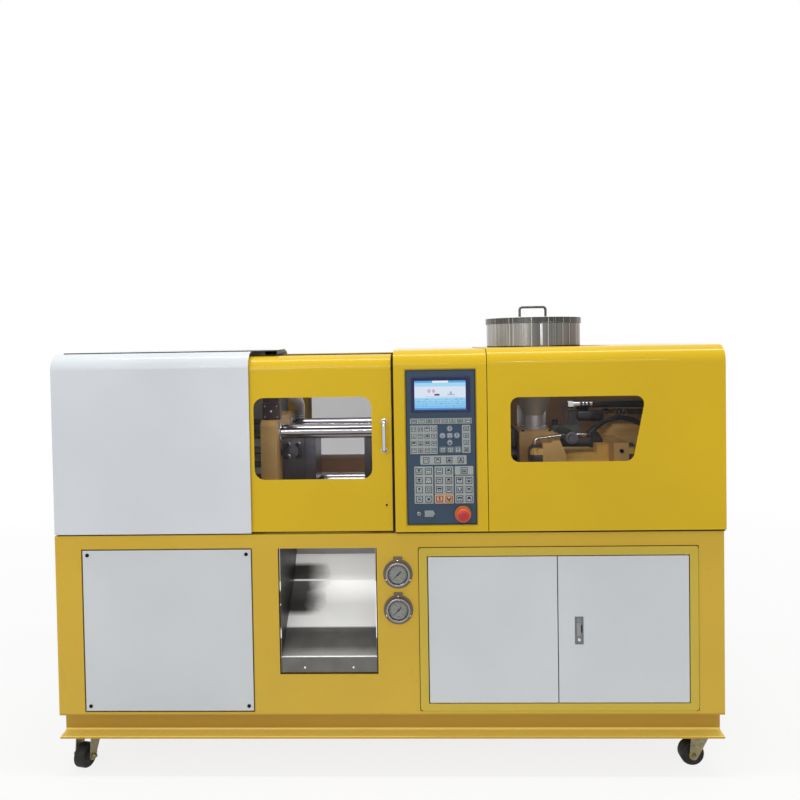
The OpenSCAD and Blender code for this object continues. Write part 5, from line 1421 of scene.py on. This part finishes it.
# %% Screws and hose collars
def on_carriage(name, shapes, finish):
    """A piece of one or more shapes that goes back and forth with the injection carriage."""
    return piece(name, join(shapes), finish, "injection_carriage")


face_y, stack_y, throat_z = -176, 4, 979
head_screws = [cap_screw(5.0, 6.0).at((x, face_y, z), "front") for x in (489, 515) for z in (760, 820)]
plate_screws = [cap_screw(6.0, 7.0).at((712.5, face_y, z), "front") for z in (770, 815, 930)]
throat_screws = [cap_screw(4.2, 5.0).at((x, y, throat_z)) for x in (432, 516) for y in (-70, 98)]
on_carriage("feed_block_screws", head_screws, black_steel)
on_carriage("thrust_plate_screws", plate_screws, black_steel)
on_carriage("throat_screws", throat_screws, black_steel)

collar = turned([(10.0, -0.2), (11.3, 0.8), (11.3, 5.2), (10.0, 6.2)], 28)
collar_rows = [((628, 640, 652), 1056), ((742, 754, 766), 1030)]
collars = [collar.at((x, stack_y, z), "right") for row, z in collar_rows for x in row]
on_carriage("hose_collars", collars, tool_steel)
print(len(head_screws + plate_screws + throat_screws), "cap screws,", len(collars), "collars")

# %% [markdown]
# A knob's flutes are a cosine on the radius, round a profile that is turned as usual. The plug and
# the nuts are hexagons, and the connector is a rounded box whose cable leaves by a gland.

# %% Knob, plug, connector and nuts of the valve stack
fluted = 1 + 0.05 * np.cos(np.arange(48) * np.pi / 2)
grip = [(8.5, -0.2), (9.8, 0.6), (9.8, 6.0), (8.8, 7.4), (4.0, 7.8), (3.4, 6.6), (0.5, 6.6)]
knob = turned(grip, 48, scale=fluted).at((545, stack_y, 1000))
on_carriage("valve_knob", [knob], black_steel)

plug = [turned([(19.6, -0.2), (19.6, 2.0), (18, 4.0), (13.5, 4.2)], 40), hex_nut(20, 8).at((0, 0, 4))]
on_carriage("valve_plug", [part.at((568, -150, 968), "front") for part in plug], tool_steel)

connector = drawn_in(26, 26, 4, [(0, -0.2), (0, 10), (1.0, 11.5), (1.0, 15), (2.4, 17), (6, 17.4)])
cable_gland = turned([(6.0, -4), (6.0, 5), (4.6, 8), (4.0, 12)], 20).at((-13, 0, 7), "left")
solenoid_top = [part.at((640, stack_y, 1036.5)) for part in (connector, cable_gland)]
on_carriage("solenoid_connector", solenoid_top, black_steel)

rib = turned([(18.0, -0.2), (18.9, 0.5), (18.9, 2.0), (18.0, 2.7)], 36)
ribs = [rib.at((x, stack_y, 1019), "right") for x in range(662, 698, 6)]
on_carriage("solenoid_ribs", ribs, black_steel)

link_nut = turned([(3.4, -1.0), (5.6, 0.2), (5.6, 5.2), (3.4, 6.4)], 24, scale=star(6, 24))
link_nuts = [link_nut.at((x, -34, 963), "right") for x in (596, 640)]
on_carriage("link_nuts", link_nuts, bright_steel)
print("valve stack: knob, plug, connector,", len(ribs), "ribs and", len(link_nuts), "nuts")

# %% [markdown]
# ## Dark strips and a lining for painted shade
# The cabinet frame and the access panel are ringed by thin black strips that stand in for the shade in
# their gaps, a black strip stands in the gap between the door and the column, and a strip of the same
# black closes the slit under the covers, all painted shade. A brown sheet lines the rear guard below
# its window, painted shade where the guard lies in shadow.

# %% Black shade strips and the guard's shade lining
def seal_round(node, front, reach):
    """A flat ring that stands out by reach all round a node's outline, its front at the Y given."""
    low, high = corner_mm(node)
    width, height = (high - low)[[0, 2]] + 2 * reach
    ring = drawn_in(width, height, 3, [(0, -1.0), (0, 0), (reach, 0), (reach, -1.0)], ring_shaped=True)
    return ring.at(((low[0] + high[0]) / 2, front, (low[2] + high[2]) / 2), "front")


# painted shade: black strips stand in for the shade in the gaps round the cabinet frame, the access panel,
# the column and under the covers
gap_shade_foam = coated("black_gap_shade_foam", (0.020, 0.017, 0.012), 0.8, 0.3, 0.002, shine=0.1)
shade_ring_front, shade_ring_reach = -296.35, 1.7
shade_rings = [seal_round(node, shade_ring_front, shade_ring_reach) for node in ("electrical_box", "access_panel")]
piece("gap_shade_rings", join(shade_rings), gap_shade_foam, "machine")

column_low, column_high = corner_mm("control_column")
column_shade_strip = drawn_in(6.4, 490, 1.5, [(0, -6.0), (0, -0.5), (0.5, 0)])
column_shade_strip = column_shade_strip.at((column_low[0] - 3.4, -298, 980), "front")
piece("column_gap_shade", column_shade_strip, gap_shade_foam, "machine")

hood_low, hood_high = corner_mm("injection_cover")
lip_length = hood_high[0] - column_low[0] - 6
lip_place = ((hood_high[0] + column_low[0]) / 2, -304.2, 719.8)
cover_gap_shade = drawn_in(lip_length, 3.6, 0.5, [(0, -4.0), (0, -0.2), (0.3, 0)])
piece("cover_gap_shade", cover_gap_shade.at(lip_place, "front"), gap_shade_foam, "machine")

guard_low, guard_high = corner_mm("rear_guard")
lining_margin, lining_height = 8, 124
lining_width = guard_high[0] - guard_low[0] - 2 * lining_margin
lining = drawn_in(lining_width, lining_height, 3, [(0, -1.2), (0, -0.2), (0.3, 0), (20, 0)])
# painted shade: a brown sheet where the rear guard lies in shadow below its window
lining_shade_brown = coated("guard_shade_lining", (0.24, 0.125, 0.065), 0.5, size=0.08)
lining_place = ((guard_low[0] + guard_high[0]) / 2, 327.0, 787)
piece("guard_shade_lining", lining.at(lining_place, "front"), lining_shade_brown, "machine")
print("two seals, a lip", round(lip_length), "mm long and a lining")

# %% [markdown]
# ## Roof plate and the hood's shade strip
# The roof plate's end is cut at a slant and turned down over the door, so its outline is a polygon
# lifted to two heights, and the lip is a narrow strip along the slanted edge.

# %% Slanted plate with its lip
roof_low, roof_high = corner_mm("clamp_roof")
roof_t, roof_slant = 3.0, 80.0


def slanted(left_front, left_back, bottom, top):
    """A prism whose right end runs from the roof's front corner to a point further left at the back."""
    y0, y1 = roof_low[1], roof_high[1]
    right_front, right_back = roof_high[0], roof_high[0] - roof_slant
    outline = np.array([(left_front, y0), (right_front, y0), (right_back, y1), (left_back, y1)])
    return skin([lifted(outline, bottom), lifted(outline, top)])


sheet = slanted(roof_low[0], roof_low[0], roof_high[2] - roof_t, roof_high[2])
lip_left = roof_high[0] - roof_t
lip = slanted(lip_left, lip_left - roof_slant, roof_low[2], roof_high[2] - roof_t)
roof_plate = piece("roof_plate", join([sheet, lip]), roof_steel, "machine")
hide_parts("clamp_roof")
print("roof plate slanted by", roof_slant, "mm")

# %% [markdown]
# The slit between the column and the hood is darkened by a black strip inside the hood, painted shade
# that stands in for the shadow in the slit. It goes up the front, over the top and down the back, bent
# round the same corners as the hood.

# %% The strip in the slit
strip_inset, strip_t, strip_reach, corner_r, strip_foot = 3.2, 2.0, 12.0, 46.0, 724.0


def strip_path(inset):
    """Up the front, round two quarter circles, down the back: corner centre + radius * (cos a, sin a)."""
    front, back, top = hood_low[1] + inset, hood_high[1] - inset, hood_high[2] - inset
    radius = corner_r - inset
    angle = np.linspace(np.pi, np.pi / 2, 14)[:, None]
    quarter = np.hstack([np.cos(angle), np.sin(angle)]) * radius
    rise = quarter + (front + radius, top - radius)
    fall = quarter[::-1] * (-1, 1) + (back - radius, top - radius)
    return np.vstack([(front, strip_foot), rise, fall, (back, strip_foot)])


outer, inner = strip_path(strip_inset), strip_path(strip_inset + strip_t)
strip_left, strip_right = column_high[0] + 0.3, hood_low[0] + strip_reach
corners = [(strip_left, outer), (strip_right, outer), (strip_right, inner), (strip_left, inner)]
strip = np.stack([np.column_stack([np.full(len(path), x), path]) for x, path in corners], axis=1)
# painted shade: a black strip in the slit between the column and the hood
piece("hood_gap_shade", skin(strip), gap_shade_foam, "machine")
print("hood seal", round(strip_right - strip_left, 1), "mm wide")

# %% [markdown]
# ## Studio
# The floor is pale and fades into a white room with distance, so only a soft shadow under the
# machine tells where it is. Light Path tells the rays apart: floor and room can look plain white to
# the camera, in mirrors and through glass without putting more light on the machine.

# %% Floor
def seen(tree):
    """1 for rays from the camera, from mirrors and through glass, 0 for the rays that light things."""
    path = tree.nodes.new("ShaderNodeLightPath")
    total = path.outputs["Is Camera Ray"]
    for name in ("Is Glossy Ray", "Is Transmission Ray"):
        both = tree.nodes.new("ShaderNodeMath")
        both.operation, both.use_clamp = "ADD", True
        tree.links.new(total, both.inputs[0])
        tree.links.new(path.outputs[name], both.inputs[1])
        total = both.outputs[0]
    return total


floor_paint = Finish("pale_floor")
pale_grey = floor_paint.mix(floor_paint.grain(0.8, 3.0), (0.80, 0.80, 0.80), (0.82, 0.82, 0.82))
floor_paint.set("Base Color", pale_grey)
floor_paint.set("Roughness", 0.85)
floor_paint.set("Specular IOR Level", 0.1)
x, y = floor_paint.axis("X"), floor_paint.axis("Y")
squares = x * x * 0.45 + y * y
distance = squares.maths("SQRT", squares)
share = (0.82 + distance.step(0.5, 3.6) * 0.18) * Flow(floor_paint, seen(floor_paint.tree))
glow = floor_paint.node("ShaderNodeEmission", {}, {"Strength": 1.0})
lit_paint = Flow(floor_paint, floor_paint.shader.outputs[0])
blended = floor_paint.node("ShaderNodeMixShader", {}, {0: share, 1: lit_paint, 2: glow})
floor_paint.tree.links.new(blended.socket, floor_paint.tree.nodes["Material Output"].inputs["Surface"])

floor_half, per_side = 9.0, 7
side = np.linspace(-floor_half, floor_half, per_side)
floor_x, floor_y = np.meshgrid(side, side, indexing="ij")
floor_points = np.stack([floor_x, floor_y, np.zeros_like(floor_x)], axis=-1).reshape(-1, 3)
order = np.arange(per_side * per_side).reshape(per_side, per_side)
around = [order[:-1, :-1], order[1:, :-1], order[1:, 1:], order[:-1, 1:]]
floor_faces = np.stack(around, axis=-1).reshape(-1, 4)
floor_mesh = bpy.data.meshes.new("pale_floor")
floor_mesh.from_pydata(floor_points.tolist(), [], floor_faces.tolist())
floor_mesh.materials.append(floor_paint.material)
floor = bpy.data.objects.new("pale_floor", floor_mesh)
bpy.context.scene.collection.objects.link(floor)
print("floor", 2 * floor_half, "m wide with", len(floor_faces), "faces")

# %% [markdown]
# A long narrow lamp hangs overhead, a thinner one is behind the camera, and a wide weak one fills
# from the front left. The two long lamps draw the bright lines along the covers' rounded edges.

# %% Lamps
def softbox(name, place, target, width, height, watts):
    """A rectangular lamp that looks from place to target: its Z is the unit vector back to place."""
    lamp = bpy.data.lights.new(name, "AREA")
    lamp.shape, lamp.size, lamp.size_y, lamp.energy = "RECTANGLE", width, height, watts
    made = bpy.data.objects.new(name, lamp)
    bpy.context.scene.collection.objects.link(made)
    back = np.array(place, float) - np.array(target, float)
    back /= np.linalg.norm(back)
    right = np.cross([0.0, 1.0, 0.0], back)
    right /= np.linalg.norm(right)
    matrix = np.eye(4)
    matrix[:3] = np.stack([right, np.cross(back, right), back, np.array(place, float)], axis=1)
    made.matrix_world = Matrix(matrix)


softbox("overhead_strip", (0.1, -0.5, 3.5), (0.0, 0.0, 0.9), 3.8, 0.22, 58)
softbox("low_strip", (0.0, -4.3, 2.15), (0.0, -0.3, 1.1), 4.4, 0.05, 22)
softbox("front_softbox", (-1.2, -3.6, 2.4), (0.0, 0.0, 0.8), 2.2, 1.4, 26)
print("three lamps")

# %% [markdown]
# The world adds the rest evenly. Two strengths feed one Map Range: the room as seen is plain white,
# and the room as light is weaker.

# %% World
room_light, room_as_seen = 0.62, 1.0
world = bpy.data.worlds.new("even_room")
bpy.context.scene.world = world
world.use_nodes = True
sky = world.node_tree
background = sky.nodes["Background"]
background.inputs["Color"].default_value = (1.0, 1.0, 1.0, 1.0)
brightness = sky.nodes.new("ShaderNodeMapRange")
sky.links.new(seen(sky), brightness.inputs["Value"])
brightness.inputs["To Min"].default_value = room_light
brightness.inputs["To Max"].default_value = room_as_seen
sky.links.new(brightness.outputs[0], background.inputs["Strength"])
bpy.context.scene.view_settings.view_transform = "Standard"
print("an even white room of strength", room_light)
